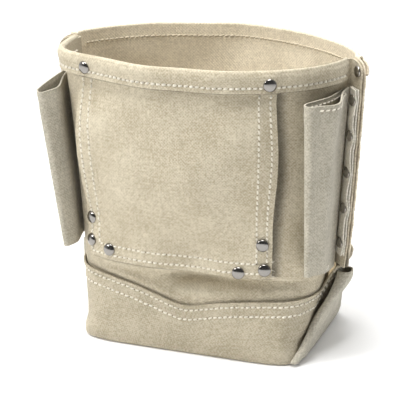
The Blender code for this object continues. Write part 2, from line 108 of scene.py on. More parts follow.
# The sleeves' shapes; a pair of numbers is the value at the bottom and at the top
SLEEVES = {
    "left": dict(
        hand=-1, swing=(math.radians(1.4), math.radians(-7)), bow=(0.0, 0.0), drop=(0.0020, 0.0095),
        bulge_out=(0.0015, 0.0015), bulge_in=(0.0055, 0.0110), fullest=3.1,
    ),
    "right": dict(
        hand=1, swing=(math.radians(8), math.radians(18)), bow=(0.0028, 0.0045), drop=(0.0020, 0.0010),
        bulge_out=(0.0070, 0.0180), bulge_in=(0.0, 0.0), fullest=2.2,
    ),
}
TAB_THICKNESS = 0.0022
TAB_START = 0.0036
HEAD_RADIUS = 0.0054
HEAD_HEIGHT = 0.0028
SEAM_HEAD_RADIUS = 0.0047
SEAM_HEAD_HEIGHT = 0.0023
HEAD_SINK = 0.0006  # how far the rivets' heads press into the cloth
SEAM_HEAD_SINK = 0.0004
SHANK_RADIUS = 0.0018
SHANK_PLAY = 0.0004
BURR_RADIUS = 0.0045
BURR_THICKNESS = 0.0009
HEAD_GAP = 0.0004
BURR_GAP = 0.0010
RIVET_RIM = 0.0006
SHANK_END = 0.0007
SEAM_RIVET_ALONG = 0.0102
SEAM_RIVET_HEIGHTS = (0.095, 0.126, 0.157, 0.189, 0.219, 0.243)
TUNNEL_RIVETS = {
    "top_left": (-0.0825, 0.2440),
    "top_right": (0.0732, 0.2430),
    "upper_left": (-0.0845, 0.1105),
    "upper_right": (0.0680, 0.1070),
    "corner_left": (-0.0850, 0.0900),
    "corner_right": (0.0695, 0.0850),
    "lower_left": (-0.0665, 0.0860),
    "lower_right": (0.0490, 0.0820),
}
FRONT, BACK = -1, 1

# The cloth's own detail
WALL_COLUMNS = 184
WALL_ROWS = 152
WALL_ROW_STEP = 0.00162  # distance between two rows of points, down the wall and up the hem
HEM_ROW_STEP = 0.0013
FIN_ARC = 9  # columns of a fin's turn and of its straight part
FIN_COLUMNS = 10
TUNNEL_ROWS = 112
TUNNEL_COLUMNS = 108
BOOT_ROWS = 34
FLOOR_REACH = 0.985  # a sheet's floor ends just short of its middle
STITCH = 0.0046  # from one stitch to the next
THREAD_RADIUS = 0.00076
HEM_THREAD_RADIUS = THREAD_RADIUS * 1.2
HEM_THREAD_LIFT = 0.00015
SLEEVE_THREAD_RADIUS = THREAD_RADIUS * 0.85
ROW_OUTER = 0.0042  # the two stitch rows of a sewn edge, from that edge
ROW_INNER = 0.0125
INSIDE_ROW_LIFT = 0.004  # the stitches inside the rim are this much nearer to it
GROOVE = 0.00050  # depth and width of the groove that a row of stitches pulls
GROOVE_WIDTH = 0.0013
HEM_GROOVE_WIDTH = 0.0014
BAND = 0.0145  # width of the tunnel panel's doubled edge
BOOT_RISE_RIGHT = 0.0140  # the boot's edge has settled lower on its right than it was cut
BOOT_RISE_SCALE_RIGHT = 0.035
SLEEVE_TAIL = 0.012  # the right sleeve's bottom edge runs down towards the seam
BOOT_SIDE_TUCK = 0.0066  # the boot's sides are drawn in, forward of the seams
FIN_ROUND = 0.011  # rounding of the fins' top outer corners
SPREAD = 0.0005  # how far the fins' layers stand apart between two rivets
FRONT_SPREAD = 0.0004
BACK_FIN_TRIMS = (0.0, -0.0004)  # cut off the back's two fins: the right one is a little longer
SLACK_FADE = 0.045  # a panel's slack dies out this near to a seam

# Swellings and hollows of the cloth. Three numbers are a height, its middle and its spread.
SIDE_DENT = (0.0085, 0.082, 0.020)  # the wall falls back behind the tunnel panel's right edge
SIDE_FOLD = (-0.0030, 0.093, 0.012)  # and along a slanting fold beside it
SIDE_FOLD_SLANT = 0.35
PANEL_FOOT_SWELL = (0.0026, 0.0765, 0.010)
PANEL_DIP = (-0.0012, 0.103, 0.012)
HOLLOW = 0.0125  # depth of the wall's hollow under the tunnel panel
HOLLOW_LEFT = 0.16  # share of it left of the middle
HOLLOW_END = 0.067
BOOT_LIP = (0.0022, 0.0055, 0.0033)  # the wall bulges over the boot's left edge
UNDER_HEM = (0.0013, 0.0, 0.006)  # and is drawn in below the rim's hem
HEM_ROLL = (0.0008, 0.0, 0.0022)  # the hem's rolled edge and the fullness above its stitches
HEM_FULLNESS = (0.0009, 0.0112, 0.0048)
TAUT = 0.0055  # the tunnel panel is pulled flat towards its right edge
BAND_RISE = 0.00075
RIVET_DENT = 0.0004  # depth and radius of the dent round a rivet
RIVET_DENT_RADIUS = 0.008
BOOT_HEM = (0.0008, 0.00035)  # height of the boot's turned edge, at its rim and below
EAR_CANVAS = 0.0011
SEAM_EDGE_CANVAS = 0.00095


def smooth(x):
    """0 below 0, 1 above 1, and a soft step between."""
    x = np.clip(x, 0, 1)
    return x * x * (3 - 2 * x)


def rise(x, start, length):
    """A soft step up from 0 to 1 that begins at start."""
    return smooth((x - start) / length)


def fall(x, start, length):
    return 1 - rise(x, start, length)


def bell(x, middle, width):
    return np.exp(-(((x - middle) / width) ** 2))


def swell(x, height, middle, width):
    return height * bell(x, middle, width)


def full_turn(count):
    return np.linspace(0, math.tau, count, endpoint=False)


def quarter(count):
    """Pairs (1 - cos, 1 - sin) along a quarter turn, for a rounded edge."""
    turns = np.radians(np.linspace(0, 90, count)[1:])
    return [(1 - math.cos(turn), 1 - math.sin(turn)) for turn in turns]


def between(first, last, step):
    return first + (last - first) * step


def unit(vectors):
    return vectors / np.maximum(np.linalg.norm(vectors, axis=-1, keepdims=True), 1e-12)


def two_grooves(inset):
    """1 along the two stitch rows of a sewn edge, at a distance in from that edge."""
    return bell(inset, ROW_OUTER, GROOVE_WIDTH) + bell(inset, ROW_INNER, GROOVE_WIDTH)


def slack_field(seed, shortest, longest, amount, count=12):
    """A smooth random height over a cloth, as a function of two lengths on it."""
    rng = np.random.default_rng(seed)
    lengths = rng.uniform(shortest, longest, count)
    turns = rng.uniform(0, math.tau, count)
    phases = rng.uniform(0, math.tau, count)

    def field(u, v):
        total = 0 * (u + v)
        for length, turn, phase in zip(lengths, turns, phases):
            total = total + np.sin(math.tau * (u * math.cos(turn) + v * math.sin(turn)) / length + phase)
        return amount * total / math.sqrt(count)

    return field


front_slack = slack_field(5, 0.05, 0.13, 0.0011)
back_slack = slack_field(11, 0.06, 0.14, 0.0014)
tunnel_slack = slack_field(23, 0.04, 0.11, 0.0008)
boot_slack = slack_field(31, 0.035, 0.10, 0.0007)
sleeve_slack = slack_field(41, 0.03, 0.08, 0.0006)
pucker = slack_field(53, 0.007, 0.013, 0.00028)


# The bag's shape


def seam_half_width(z):
    flare = FOOT_FLARE * (1 - math.exp(-z / FOOT_FLARE_SCALE))
    slope = (RIM_HALF_WIDTH - BASE_HALF_WIDTH - FOOT_FLARE) / HEIGHT
    return BASE_HALF_WIDTH + flare + slope * z


def half_depth(side, z):
    depth = BASE_HALF_DEPTH + (RIM_HALF_DEPTH - BASE_HALF_DEPTH) * z / HEIGHT
    if side == FRONT:
        depth -= WAIST_DIP * bell(z, WAIST_HEIGHT, WAIST_SPREAD)
    return depth


def corner_power(side, z):
    rim = FRONT_RIM_POWER if side == FRONT else BACK_RIM_POWER
    return rim + (BASE_POWER - rim) * math.exp(-z / POWER_FALL)


def corner_push(side, z, angle):
    """How far the wall is pushed out from its oval at its left front corner."""
    share = (z - CORNER_PUSH_FROM) / (HEIGHT - CORNER_PUSH_FROM)
    if side == BACK or share <= 0:
        return 0 * angle
    turns = (angle + math.pi - CORNER_PUSH_TURN) / CORNER_PUSH_SPREAD
    bump = np.exp(-(turns**2)) - math.exp(-((CORNER_PUSH_TURN / CORNER_PUSH_SPREAD) ** 2))
    return CORNER_PUSH * share * np.maximum(bump, 0)


def boot_top(x):
    """Height of the scooped top edge of the boot."""
    reach = np.hypot(x, BOOT_SCOOP_ROUND) - BOOT_SCOOP_ROUND
    left = BOOT_RISE * (1 - np.exp(-reach / BOOT_RISE_SCALE))
    right = BOOT_RISE_RIGHT * (1 - np.exp(-reach / BOOT_RISE_SCALE_RIGHT))
    return BOOT_CENTRE_TOP + np.where(x < 0, left, right)


def side_dent(x, z):
    """How far the front wall falls back behind the tunnel panel's right edge."""
    return swell(x, *SIDE_DENT) * bell(z, 0.160, 0.042)


def under_hem(z):
    """How far the wall is drawn in just below the rim's hem."""
    down = HEM_EDGE - z
    return swell(down, *UNDER_HEM) * smooth(down / 0.0015)


def slack(side, x, z, dented=True):
    """How far the wall stands out from its even shape, at x and height z."""
    ends = smooth((seam_half_width(z) - np.abs(x)) / SLACK_FADE)
    free = smooth((z - boot_top(x) - 0.002) / 0.022)
    if side == BACK:
        return back_slack(x, z) * ends * rise(z, 0.03, 0.05)
    height = front_slack(x, z) + swell(z, *PANEL_FOOT_SWELL) + swell(z, *PANEL_DIP)
    height = height + swell(x + SIDE_FOLD_SLANT * (z - 0.15), *SIDE_FOLD) * bell(z, 0.13, 0.06)
    under = smooth((TUNNEL_BOTTOM - 0.0005 - z) / 0.006) * (1 - smooth((HOLLOW_END - z) / 0.012))
    height = height - HOLLOW * under * (HOLLOW_LEFT + (1 - HOLLOW_LEFT) * rise(x, -0.035, 0.04))
    height = height - under_hem(z) - dented * side_dent(x, z)
    edge = z - boot_top(x)
    return height * ends * free + swell(edge, *BOOT_LIP) * smooth(-x / 0.02) * ends


def oval(half_x, half_y, power, out, start, stop, push=None, count=600, moved=None):
    """Dense points of a superellipse between two polar angles, moved outward by out(x) or out."""
    angle = np.linspace(start, stop, count)
    cos, sin = np.cos(angle), np.sin(angle)
    radius = (np.abs(cos / half_x) ** power + np.abs(sin / half_y) ** power) ** (-1 / power)
    if push:
        radius = radius + push(angle)
    points = np.stack([radius * cos, radius * sin], -1)
    along = np.gradient(points, axis=0) * np.sign(stop - start)
    along[[0, -1]] *= (0, 1)
    normal = unit(np.stack([along[:, 1], -along[:, 0]], -1))
    distance = out(points[:, 0]) if callable(out) else out + 0 * points[:, 0]
    if moved:
        distance = distance + moved(points[:, 0])
    return points + distance[:, None] * normal


def level_at(out, x):
    return float(out(np.array([x]))[0]) if callable(out) else out


def resampled(points, count, closed=False):
    length = np.r_[0, np.cumsum(np.linalg.norm(np.diff(points, axis=0), axis=1))]
    steps = np.linspace(0, length[-1], count, endpoint=not closed)
    return np.stack([np.interp(steps, length, points[:, k]) for k in range(2)], -1)


def back_shift():
    return (FOLD + SEAM_PITCH) * math.sqrt(0.5)


def front_curve(z, out=0.0, inset=0.0, dented=True):
    half_x = seam_half_width(z) - FOLD - inset
    half_y = half_depth(FRONT, z) - inset
    return oval(
        half_x, half_y, corner_power(FRONT, z), out, -math.pi, 0,
        push=lambda angle: corner_push(FRONT, z, angle),
        moved=lambda x: slack(FRONT, x, z, dented),
    )


def wall_row(side, z, out, columns, inset=0.0):
    if side == FRONT:
        return resampled(front_curve(z, out, inset), columns)
    half_x = seam_half_width(z) + back_shift() - inset
    half_y = half_depth(side, z) - back_shift() - inset
    curve = oval(
        half_x, half_y, corner_power(side, z), out, math.pi, 0,
        moved=lambda x: slack(BACK, x, z),
    )
    curve[:, 1] += back_shift()
    curve = curve[curve[:, 1] > BACK_TRIM]
    ends = level_at(out, half_x)
    left, right = (fin_foot(hand, z, ends + SEAM_PITCH) for hand in (-1, 1))
    return resampled(np.array([left + (inset, 0), *curve, right - (inset, 0)]), columns)


def fin_direction(hand):
    turn = RIGHT_FIN if hand > 0 else LEFT_FIN
    along = np.array([hand * math.cos(turn), -math.sin(turn)])
    across = np.array([-hand * math.sin(turn), -math.cos(turn)])
    return along, across


def fin_foot(hand, z, out):
    return np.array([hand * seam_half_width(z), 0.0]) - fin_direction(hand)[1] * (FOLD + out)


def between_rivets(z):
    """0 at a seam rivet, 1 halfway between two of them."""
    heights = (FIN_BOTTOM - 0.010, *SEAM_RIVET_HEIGHTS, HEIGHT + 0.012)
    k = int(np.clip(np.searchsorted(heights, z) - 1, 0, len(heights) - 2))
    part = (z - heights[k]) / (heights[k + 1] - heights[k])
    return math.sin(math.pi * min(max(part, 0), 1)) ** 0.75


def fin_reach(z, seed, trim=0.0):
    """Length of a fin at this height: its top corner is rounded and its edge is uneven."""
    reach = FIN_LENGTH - trim + 0.0003 * math.sin(z * 310 + seed) + 0.0002 * math.sin(z * 730 + 2 * seed)
    over = z - (HEIGHT - 0.003 - FIN_ROUND)
    if over > 0:
        reach -= FIN_ROUND - math.sqrt(max(FIN_ROUND**2 - min(over, FIN_ROUND) ** 2, 0))
    return reach


def fin_points(hand, z, radius, spread, seed):
    """The front panel's end: its arc round the fold's centre, then straight out along the fin."""
    centre = np.array([hand * seam_half_width(z), 0.0])
    along, across = fin_direction(hand)
    turn_end = math.atan2(-across[1], -across[0] * hand)
    arc = [
        centre + radius * np.array([hand * math.cos(angle), math.sin(angle)])
        for angle in np.linspace(math.pi, turn_end, FIN_ARC + 1)[1:]
    ]
    return arc + fin_straight(centre - across * radius, hand, z, spread, seed)


def fin_straight(start, hand, z, spread, seed, trim=0.0):
    """Points out along a fin, whose layer stands apart by spread between two rivets."""
    along, across = fin_direction(hand)
    reach = fin_reach(z, seed, trim)
    return [
        start + along * reach * step + across * spread * between_rivets(z) * step**1.5
        for step in np.linspace(0, 1, FIN_COLUMNS + 1)[1:]
    ]


def front_row(z, out, inset=0.0):
    left = fin_points(-1, z, FOLD, FRONT_SPREAD, 1.0)[::-1]
    right = fin_points(1, z, FOLD, FRONT_SPREAD, 2.0)
    return np.array(left + list(wall_row(FRONT, z, out, WALL_COLUMNS, inset)) + right)


def back_row(z, out, inset=0.0):
    wall = wall_row(BACK, z, out, WALL_COLUMNS, inset)
    lift = level_at(out, seam_half_width(z)) + SEAM_PITCH
    ends = [
        fin_straight(fin_foot(hand, z, lift), hand, z, -SPREAD, seed, trim)
        for hand, seed, trim in zip((-1, 1), (3.0, 4.2), BACK_FIN_TRIMS)
    ]
    return np.array(ends[0][::-1] + list(wall) + ends[1])


def tunnel_half(z):
    step = (z - TUNNEL_BOTTOM) / (TUNNEL_TOP - TUNNEL_BOTTOM)
    return between(TUNNEL_HALF_BOTTOM, TUNNEL_HALF_TOP, step)


def over_tunnel(x, z):
    """1 where the tunnel panel lies under the rim's hem, 0 beside it."""
    return smooth((tunnel_half(z) + 0.0035 - (x - TUNNEL_MIDDLE)) / 0.004)


def hem_pattern(up):
    """A sewn hem's own height, up from its free edge: a rolled edge, a groove and fullness above it."""
    groove = 1.3 * GROOVE * bell(up, ROW_OUTER, HEM_GROOVE_WIDTH)
    return swell(up, *HEM_ROLL) + swell(up, *HEM_FULLNESS) - groove


def hem_and_wall(row_at, hem_out):
    """Rows of a panel from the hem's free edge, over the rim, down the wall and over the floor."""
    roll = float(hem_out(np.array([0.0]))[0]) / 2
    top = HEIGHT - HALF - roll
    rows = []
    for z in np.arange(HEM_EDGE, top, HEM_ROW_STEP):
        up = z - HEM_EDGE

        def out(x, up=up, z=z):
            return hem_out(x) + hem_pattern(up) + pucker(x, z) * smooth(1 - abs(up - ROW_OUTER) / 0.009)

        rows.append((row_at(z, out), z))
    for turn in np.radians(np.linspace(0, 180, 12)[:-1]):
        z = top + roll * math.sin(turn)
        rows.append((row_at(top, lambda x, c=math.cos(turn): hem_out(x) * (1 + c) / 2), z))
    hem_rows = len(rows)
    floor = HALF + PITCH
    for z in np.linspace(top, floor + BASE_EDGE, WALL_ROWS):
        up = z - HEM_EDGE
        dent = -0.5 * GROOVE * bell(up, ROW_OUTER, HEM_GROOVE_WIDTH)
        rows.append((row_at(z, dent), z))
    for inward, up in quarter(6):
        z = floor + BASE_EDGE * up
        rows.append((row_at(z, 0.0, BASE_EDGE * inward), z))
    last = rows[-1][0]
    for step in np.linspace(0, 1, 14)[1:]:
        rows.append((last * (1, 1 - FLOOR_REACH * step), floor))
    points = np.array([[(x, y, z) for x, y in row] for row, z in rows])
    return points, hem_rows


# Meshes


def grid_normals(points, closed=False):
    if closed:
        wrapped = np.concatenate([points[:, -1:], points, points[:, :1]], axis=1)
        across = np.gradient(wrapped, axis=1)[:, 1:-1]
    else:
        across = np.gradient(points, axis=1)
    down = np.gradient(points, axis=0)
    return unit(np.cross(across, down))


def cloth_lengths(points):
    """Each point's place on the flat cloth: lengths along its row and down its column."""
    across = np.linalg.norm(np.diff(points, axis=1), axis=2)
    down = np.linalg.norm(np.diff(points, axis=0), axis=2)
    u = np.pad(np.cumsum(across, axis=1), ((0, 0), (1, 0)))
    u -= u[:, [u.shape[1] // 2]]
    v = np.pad(np.cumsum(down, axis=0), ((1, 0), (0, 0)))
    return np.stack([u, v, 0 * u], -1)


def finished(obj):
    """The object's mesh with its modifiers applied."""
    bpy.context.view_layer.update()
    graph = bpy.context.evaluated_depsgraph_get()
    mesh = bpy.data.meshes.new_from_object(obj.evaluated_get(graph), depsgraph=graph)
    obj.modifiers.clear()
    obj.data = mesh
    mesh.shade_smooth()
    mesh.set_sharp_from_angle(angle=math.radians(50))
    return obj


def tube_faces(base, rings, sides):
    """Faces of a closed tube whose rings of points start at base."""
    faces = []
    for ring in range(rings - 1):
        for k in range(sides):
            a, b = (base + ring * sides + corner % sides for corner in (k, k + 1))
            faces.append((a, b, b + sides, a + sides))
    top = base + (rings - 1) * sides
    return faces + [tuple(reversed(range(base, base + sides))), tuple(range(top, top + sides))]


def add_object(name, data):
    obj = bpy.data.objects.new(name, data)
    bpy.context.scene.collection.objects.link(obj)
    return obj


def add_mesh(name, verts, faces, look, edges=()):
    mesh = bpy.data.meshes.new(name)
    mesh.from_pydata(verts, edges, faces)
    mesh.materials.append(look)
    return add_object(name, mesh)


def cloth(name, points, look, keep=None, closed=False, thickness=CANVAS, crease=None):
    """A sheet of canvas through a grid of points. keep(rows, columns) says which faces exist. crease gives
    each point's distance from a deep crease, for the painted shade there.
    """
    rows, columns = points.shape[:2]
    r, c = np.meshgrid(np.arange(rows - 1), np.arange(columns if closed else columns - 1), indexing="ij")
    if keep is not None:
        chosen = keep(r, c)
        r, c = r[chosen], c[chosen]
    r, c = r.ravel(), c.ravel()
    d = (c + 1) % columns
    faces = np.stack([r * columns + c, (r + 1) * columns + c, (r + 1) * columns + d, r * columns + d], -1)
    used, faces = np.unique(faces, return_inverse=True)
    faces = faces.reshape(-1, 4)
    obj = add_mesh(name, points.reshape(-1, 3)[used].tolist(), faces.tolist(), look)
    distance = np.ones(points.shape[:2]) if crease is None else crease
    for field, kind, key, values in (
        ("cloth", "FLOAT_VECTOR", "vector", cloth_lengths(points).reshape(-1, 3)),
        ("crease", "FLOAT", "value", distance.ravel()),
    ):
        made = obj.data.attributes.new(field, kind, "POINT")
        made.data.foreach_set(key, values[used].astype(np.float32).ravel())
    modifier = obj.modifiers.new("thickness", "SOLIDIFY")
    modifier.thickness = thickness
    modifier.offset = 0.0
    return finished(obj)


def sampled(grid, path):
    """Values of a grid at fractional (row, column) places."""
    r = np.clip(path[:, 0], 0, grid.shape[0] - 1.001)
    c = np.clip(path[:, 1], 0, grid.shape[1] - 1.001)
    r0, c0 = r.astype(int), c.astype(int)
    fr, fc = (r - r0)[:, None], (c - c0)[:, None]
    top = grid[r0, c0] * (1 - fc) + grid[r0, c0 + 1] * fc
    low = grid[r0 + 1, c0] * (1 - fc) + grid[r0 + 1, c0 + 1] * fc
    return top * (1 - fr) + low * fr


def seam_line(points, normals, path, side=1, lift=HALF):
    """Stitch places along a path on a grid: (points, tangents, normals) at equal steps."""
    dense = np.concatenate([
        np.linspace(a, b, 80, endpoint=False) for a, b in zip(path[:-1], path[1:])
    ] + [np.array(path[-1:], float)])
    places = sampled(points, dense)
    ups = side * sampled(normals, dense)
    length = np.r_[0, np.cumsum(np.linalg.norm(np.diff(places, axis=0), axis=1))]
    count = max(int(length[-1] / STITCH), 1)
    steps = (np.arange(count) + 0.5) * length[-1] / count
    pick = [
        np.stack([np.interp(steps, length, values[:, k]) for k in range(3)], -1)
        for values in (places, ups)
    ]
    tangent = np.stack([
        np.interp(steps + 5e-4, length, places[:, k]) - np.interp(steps - 5e-4, length, places[:, k])
        for k in range(3)
    ], -1)
    normal = unit(pick[1])
    return pick[0] + normal * lift, unit(tangent), normal


STITCH_RINGS = 7
STITCH_SIDES = 8
STITCH_SLANT = 11  # degrees
HOLE_RADIUS = 0.00062
HOLE_SINK = 0.0004  # a needle hole's painted shade: a dark plug from this deep to just above the cloth
HOLE_LIFT = 0.00012


def thread_rows(name, lines, look, radius=THREAD_RADIUS):
    """Every stitch as a slightly slanted bead of thread, thick in the middle and sunk at its ends."""
    rng = np.random.default_rng(len(name))
    verts, faces = [], []
    stitches = [stitch for line in lines for stitch in zip(*line)]
    for place, tangent, normal in stitches:
        side = np.cross(normal, tangent)
        slant = math.radians(STITCH_SLANT + rng.normal(0, 3))
        along = tangent * math.cos(slant) + side * math.sin(slant)
        beside = np.cross(normal, along)
        size = radius * rng.uniform(0.88, 1.1)
        faces += tube_faces(len(verts), STITCH_RINGS, STITCH_SIDES)
        for k in np.linspace(-1, 1, STITCH_RINGS):
            around = size * (1 - 0.75 * abs(k) ** 2.4)
            centre = place + along * k * STITCH * 0.47 + normal * (0.45 * size - 1.5 * size * k * k)
            for turn in full_turn(STITCH_SIDES):
                verts.append(centre + around * (math.cos(turn) * beside * 1.15 + math.sin(turn) * normal))
    # Painted shade in the needle holes: a dark plug at one end of each stitch.
    holes_from = len(faces)
    for place, tangent, normal in stitches:
        side = np.cross(normal, tangent)
        centre = place + tangent * STITCH * 0.5
        faces += tube_faces(len(verts), 2, STITCH_SIDES)
        ring = [
            (math.cos(turn) * tangent * 0.8 + math.sin(turn) * side) * HOLE_RADIUS
            for turn in full_turn(STITCH_SIDES)
        ]
        verts.extend(centre + spoke - normal * HOLE_SINK for spoke in ring)
        verts.extend(centre + spoke * 0.8 + normal * HOLE_LIFT for spoke in ring)
    obj = add_mesh(name, [tuple(v) for v in verts], faces, look)
    obj.data.materials.append(HOLE_PAINTED_SHADE_LOOK)
    slots = np.arange(len(faces)) >= holes_from
    obj.data.polygons.foreach_set("material_index", slots.astype(np.int32))
    obj.data.shade_smooth()
    return obj


# Materials


def new_material(name):
    made = bpy.data.materials.new(name)
    made.use_nodes = True
    return made, made.node_tree, made.node_tree.nodes["Principled BSDF"]


def set_inputs(node, **values):
    """Sets a node's input values; an underscore stands for a space in an input's name."""
    for name, value in values.items():
        node.inputs[name.replace("_", " ")].default_value = value


def attribute(tree, name):
    node = tree.nodes.new("ShaderNodeAttribute")
    node.attribute_name = name
    return node.outputs


def separated(tree, vector):
    node = tree.nodes.new("ShaderNodeSeparateXYZ")
    tree.links.new(vector, node.inputs[0])
    return node.outputs


def math_node(tree, operation, first, second=None):
    node = tree.nodes.new("ShaderNodeMath")
    node.operation = operation
    for socket, value in zip(node.inputs, (first, second)):
        if isinstance(value, (int, float)):
            socket.default_value = value
        elif value is not None:
            tree.links.new(value, socket)
    return node.outputs[0]


def noise_node(tree, vector, scale, detail=3.0, rough=0.55):
    node = tree.nodes.new("ShaderNodeTexNoise")
    set_inputs(node, Scale=scale, Detail=detail, Roughness=rough)
    tree.links.new(vector, node.inputs["Vector"])
    return node.outputs["Fac"]


def stretched(tree, vector, scale):
    node = tree.nodes.new("ShaderNodeVectorMath")
    node.operation = "MULTIPLY"
    tree.links.new(vector, node.inputs[0])
    node.inputs[1].default_value = scale
    return node.outputs[0]


def map_range(tree, value, low, high, source=(0.0, 1.0), kind="LINEAR"):
    """A value rescaled from the source range to the range from low to high."""
    node = tree.nodes.new("ShaderNodeMapRange")
    node.interpolation_type = kind
    tree.links.new(value, node.inputs["Value"])
    for name, limit in zip(("From Min", "From Max", "To Min", "To Max"), (*source, low, high)):
        node.inputs[name].default_value = limit
    return node.outputs[0]


def colour_mix(tree, factor, first, second):
    node = tree.nodes.new("ShaderNodeMix")
    node.data_type = "RGBA"
    node.inputs[6].default_value = (*first, 1)
    node.inputs[7].default_value = (*second, 1)
    tree.links.new(factor, node.inputs[0])
    return node.outputs[2]


def add_bump(tree, shader, height, strength, distance):
    node = tree.nodes.new("ShaderNodeBump")
    set_inputs(node, Strength=strength, Distance=distance)
    tree.links.new(height, node.inputs["Height"])
    tree.links.new(node.outputs[0], shader.inputs["Normal"])


YARN_PAIR = 0.0026  # width of two neighbouring yarns
PAINTED_SHADE_REACH = 0.0030  # painted shade: the cloth's colour is darkened this far from a deep crease's bottom
PAINTED_SHADE_TONE = 0.42  # and this share of the cloth's colour is left there, in the painted shade
MIDDLE_TONE = 1.825  # mean of the summed patterns below, and half their useful range
TONE_RANGE = 0.27


def canvas_material(name, light, dark):
    """Unbleached duck: plain weave with uneven yarns, flecks and slow changes of tone; darker near deep
    creases, as painted shade.
    """
    made, tree, shader = new_material(name)
    at = attribute(tree, "cloth")["Vector"]
    warp, weft = (
        math_node(tree, "SINE", math_node(tree, "MULTIPLY", length, math.tau / YARN_PAIR))
        for length in separated(tree, at)[:2]
    )
    weave = math_node(tree, "MULTIPLY", warp, weft)
    yarn_u = noise_node(tree, stretched(tree, at, (900, 45, 1)), 1.0, 2.0)
    yarn_v = noise_node(tree, stretched(tree, at, (45, 900, 1)), 1.0, 2.0)
    yarns = math_node(tree, "ADD", yarn_u, yarn_v)
    grain_fine = noise_node(tree, at, 620, 2.0)
    fleck = noise_node(tree, at, 260, 4.0, 0.7)
    tone = noise_node(tree, at, 34, 4.0)
    total = math_node(tree, "MULTIPLY", weave, 0.13)
    for value, weight in ((yarns, 0.30), (grain_fine, 1.15), (fleck, 1.05), (tone, 0.85)):
        total = math_node(tree, "ADD", total, math_node(tree, "MULTIPLY", value, weight))
    tone_range = (MIDDLE_TONE - TONE_RANGE, MIDDLE_TONE + TONE_RANGE)
    colour = colour_mix(tree, map_range(tree, total, 0, 1, tone_range), dark, light)
    # Painted shade: the colour is darkened near deep creases, by each point's distance from them.
    crease = attribute(tree, "crease")["Fac"]
    fade = map_range(tree, crease, PAINTED_SHADE_TONE, 1, (0, PAINTED_SHADE_REACH), "SMOOTHSTEP")
    shaded = tree.nodes.new("ShaderNodeVectorMath")
    shaded.operation = "SCALE"
    tree.links.new(colour, shaded.inputs[0])
    tree.links.new(fade, shaded.inputs["Scale"])
    tree.links.new(shaded.outputs[0], shader.inputs["Base Color"])
    height = math_node(tree, "ADD", math_node(tree, "MULTIPLY", weave, 0.55), grain_fine)
    height = math_node(tree, "ADD", height, math_node(tree, "MULTIPLY", yarns, 0.5))
    add_bump(tree, shader, height, 0.55, 0.00045)
    set_inputs(shader, Roughness=0.93, Specular_IOR_Level=0.18, Sheen_Weight=0.12, Sheen_Roughness=0.6)
    return made


def thread_material(name, colour):
    made, tree, shader = new_material(name)
    place = tree.nodes.new("ShaderNodeTexCoord")
    twist = tree.nodes.new("ShaderNodeTexWave")
    set_inputs(twist, Scale=260, Distortion=2.0)
    tree.links.new(place.outputs["Object"], twist.inputs["Vector"])
    add_bump(tree, shader, twist.outputs["Fac"], 0.4, 0.0002)
    tone = noise_node(tree, place.outputs["Object"], 150)
    mixed = colour_mix(tree, tone, [c * 0.8 for c in colour], colour)
    tree.links.new(mixed, shader.inputs["Base Color"])
    set_inputs(shader, Roughness=0.75, Sheen_Weight=0.2)
    return made


def metal_material(name, colour, roughness, wear):
    made, tree, shader = new_material(name)
    place = tree.nodes.new("ShaderNodeTexCoord")
    haze = noise_node(tree, place.outputs["Object"], 900, 4.0)
    scratch = noise_node(tree, stretched(tree, place.outputs["Object"], (3000, 250, 250)), 1.0, 2.0)
    tree.links.new(map_range(tree, haze, roughness, roughness + wear), shader.inputs["Roughness"])
    add_bump(tree, shader, scratch, 0.12, 0.00008)
    mixed = colour_mix(tree, haze, [c * 0.72 for c in colour], colour)
    tree.links.new(mixed, shader.inputs["Base Color"])
    set_inputs(shader, Metallic=1.0)
    return made


CANVAS_LOOK = canvas_material("natural_canvas_duck", (0.65, 0.585, 0.450), (0.43, 0.370, 0.258))
# The back panel's canvas: a lighter copy of the front's, painted light for the bag's inside, which it lines.
BACK_PAINTED_LIGHT_LOOK = canvas_material("back_canvas_duck_painted_light", (0.86, 0.77, 0.60), (0.62, 0.54, 0.40))
BOOT_LOOK = canvas_material("boot_canvas_duck", (0.575, 0.515, 0.395), (0.375, 0.325, 0.225))
SLEEVE_LOOK = canvas_material("sleeve_canvas_duck", (0.565, 0.525, 0.430), (0.37, 0.340, 0.268))
# The ears' canvas: a lighter, greyer copy of the boot's, as painted light.
EAR_PAINTED_LIGHT_LOOK = canvas_material("boot_ear_duck_painted_light", (0.60, 0.565, 0.47), (0.40, 0.370, 0.295))
# The sleeves' cut edges in the seams: a lighter copy of the sleeve canvas, as painted light.
EDGE_PAINTED_LIGHT_LOOK = canvas_material("seam_edge_duck_painted_light", (0.88, 0.84, 0.74), (0.64, 0.60, 0.50))
THREAD_LOOK = thread_material("cream_thread", (0.88, 0.83, 0.71))
DULL_THREAD_LOOK = thread_material("dull_thread", (0.64, 0.56, 0.41))
# The needle holes' dark plugs: painted shade.
HOLE_PAINTED_SHADE_LOOK = thread_material("needle_hole_painted_shade", (0.25, 0.20, 0.13))
# Nickel darker than real plating: painted dark reflections.
NICKEL_PAINTED_REFLECTION_LOOK = metal_material("nickel_plate", (0.31, 0.295, 0.275), 0.10, 0.12)
# The seam rivets' nickel: a lighter copy of the same plate, as painted light.
SEAM_NICKEL_PAINTED_LIGHT_LOOK = metal_material("seam_nickel_plate", (0.46, 0.44, 0.41), 0.12, 0.12)
BURR_LOOK = metal_material("burr_plate", (0.50, 0.46, 0.40), 0.30, 0.20)


# Panels


def front_hem_out(x):
    return SEAM_PITCH * (1.0 + over_tunnel(x, HEIGHT - HEM_WIDTH / 2))


NO_PAINTED_SHADE = 1.0  # a distance at which a crease's painted shade no longer darkens the cloth


def from_line(distance, margin, weight=1.0):
    """Weighted distance from a crease's line, for its painted shade, for points past the line or within a
    margin before it.
    """
    return np.where(distance > -margin, weight * np.abs(distance), NO_PAINTED_SHADE)


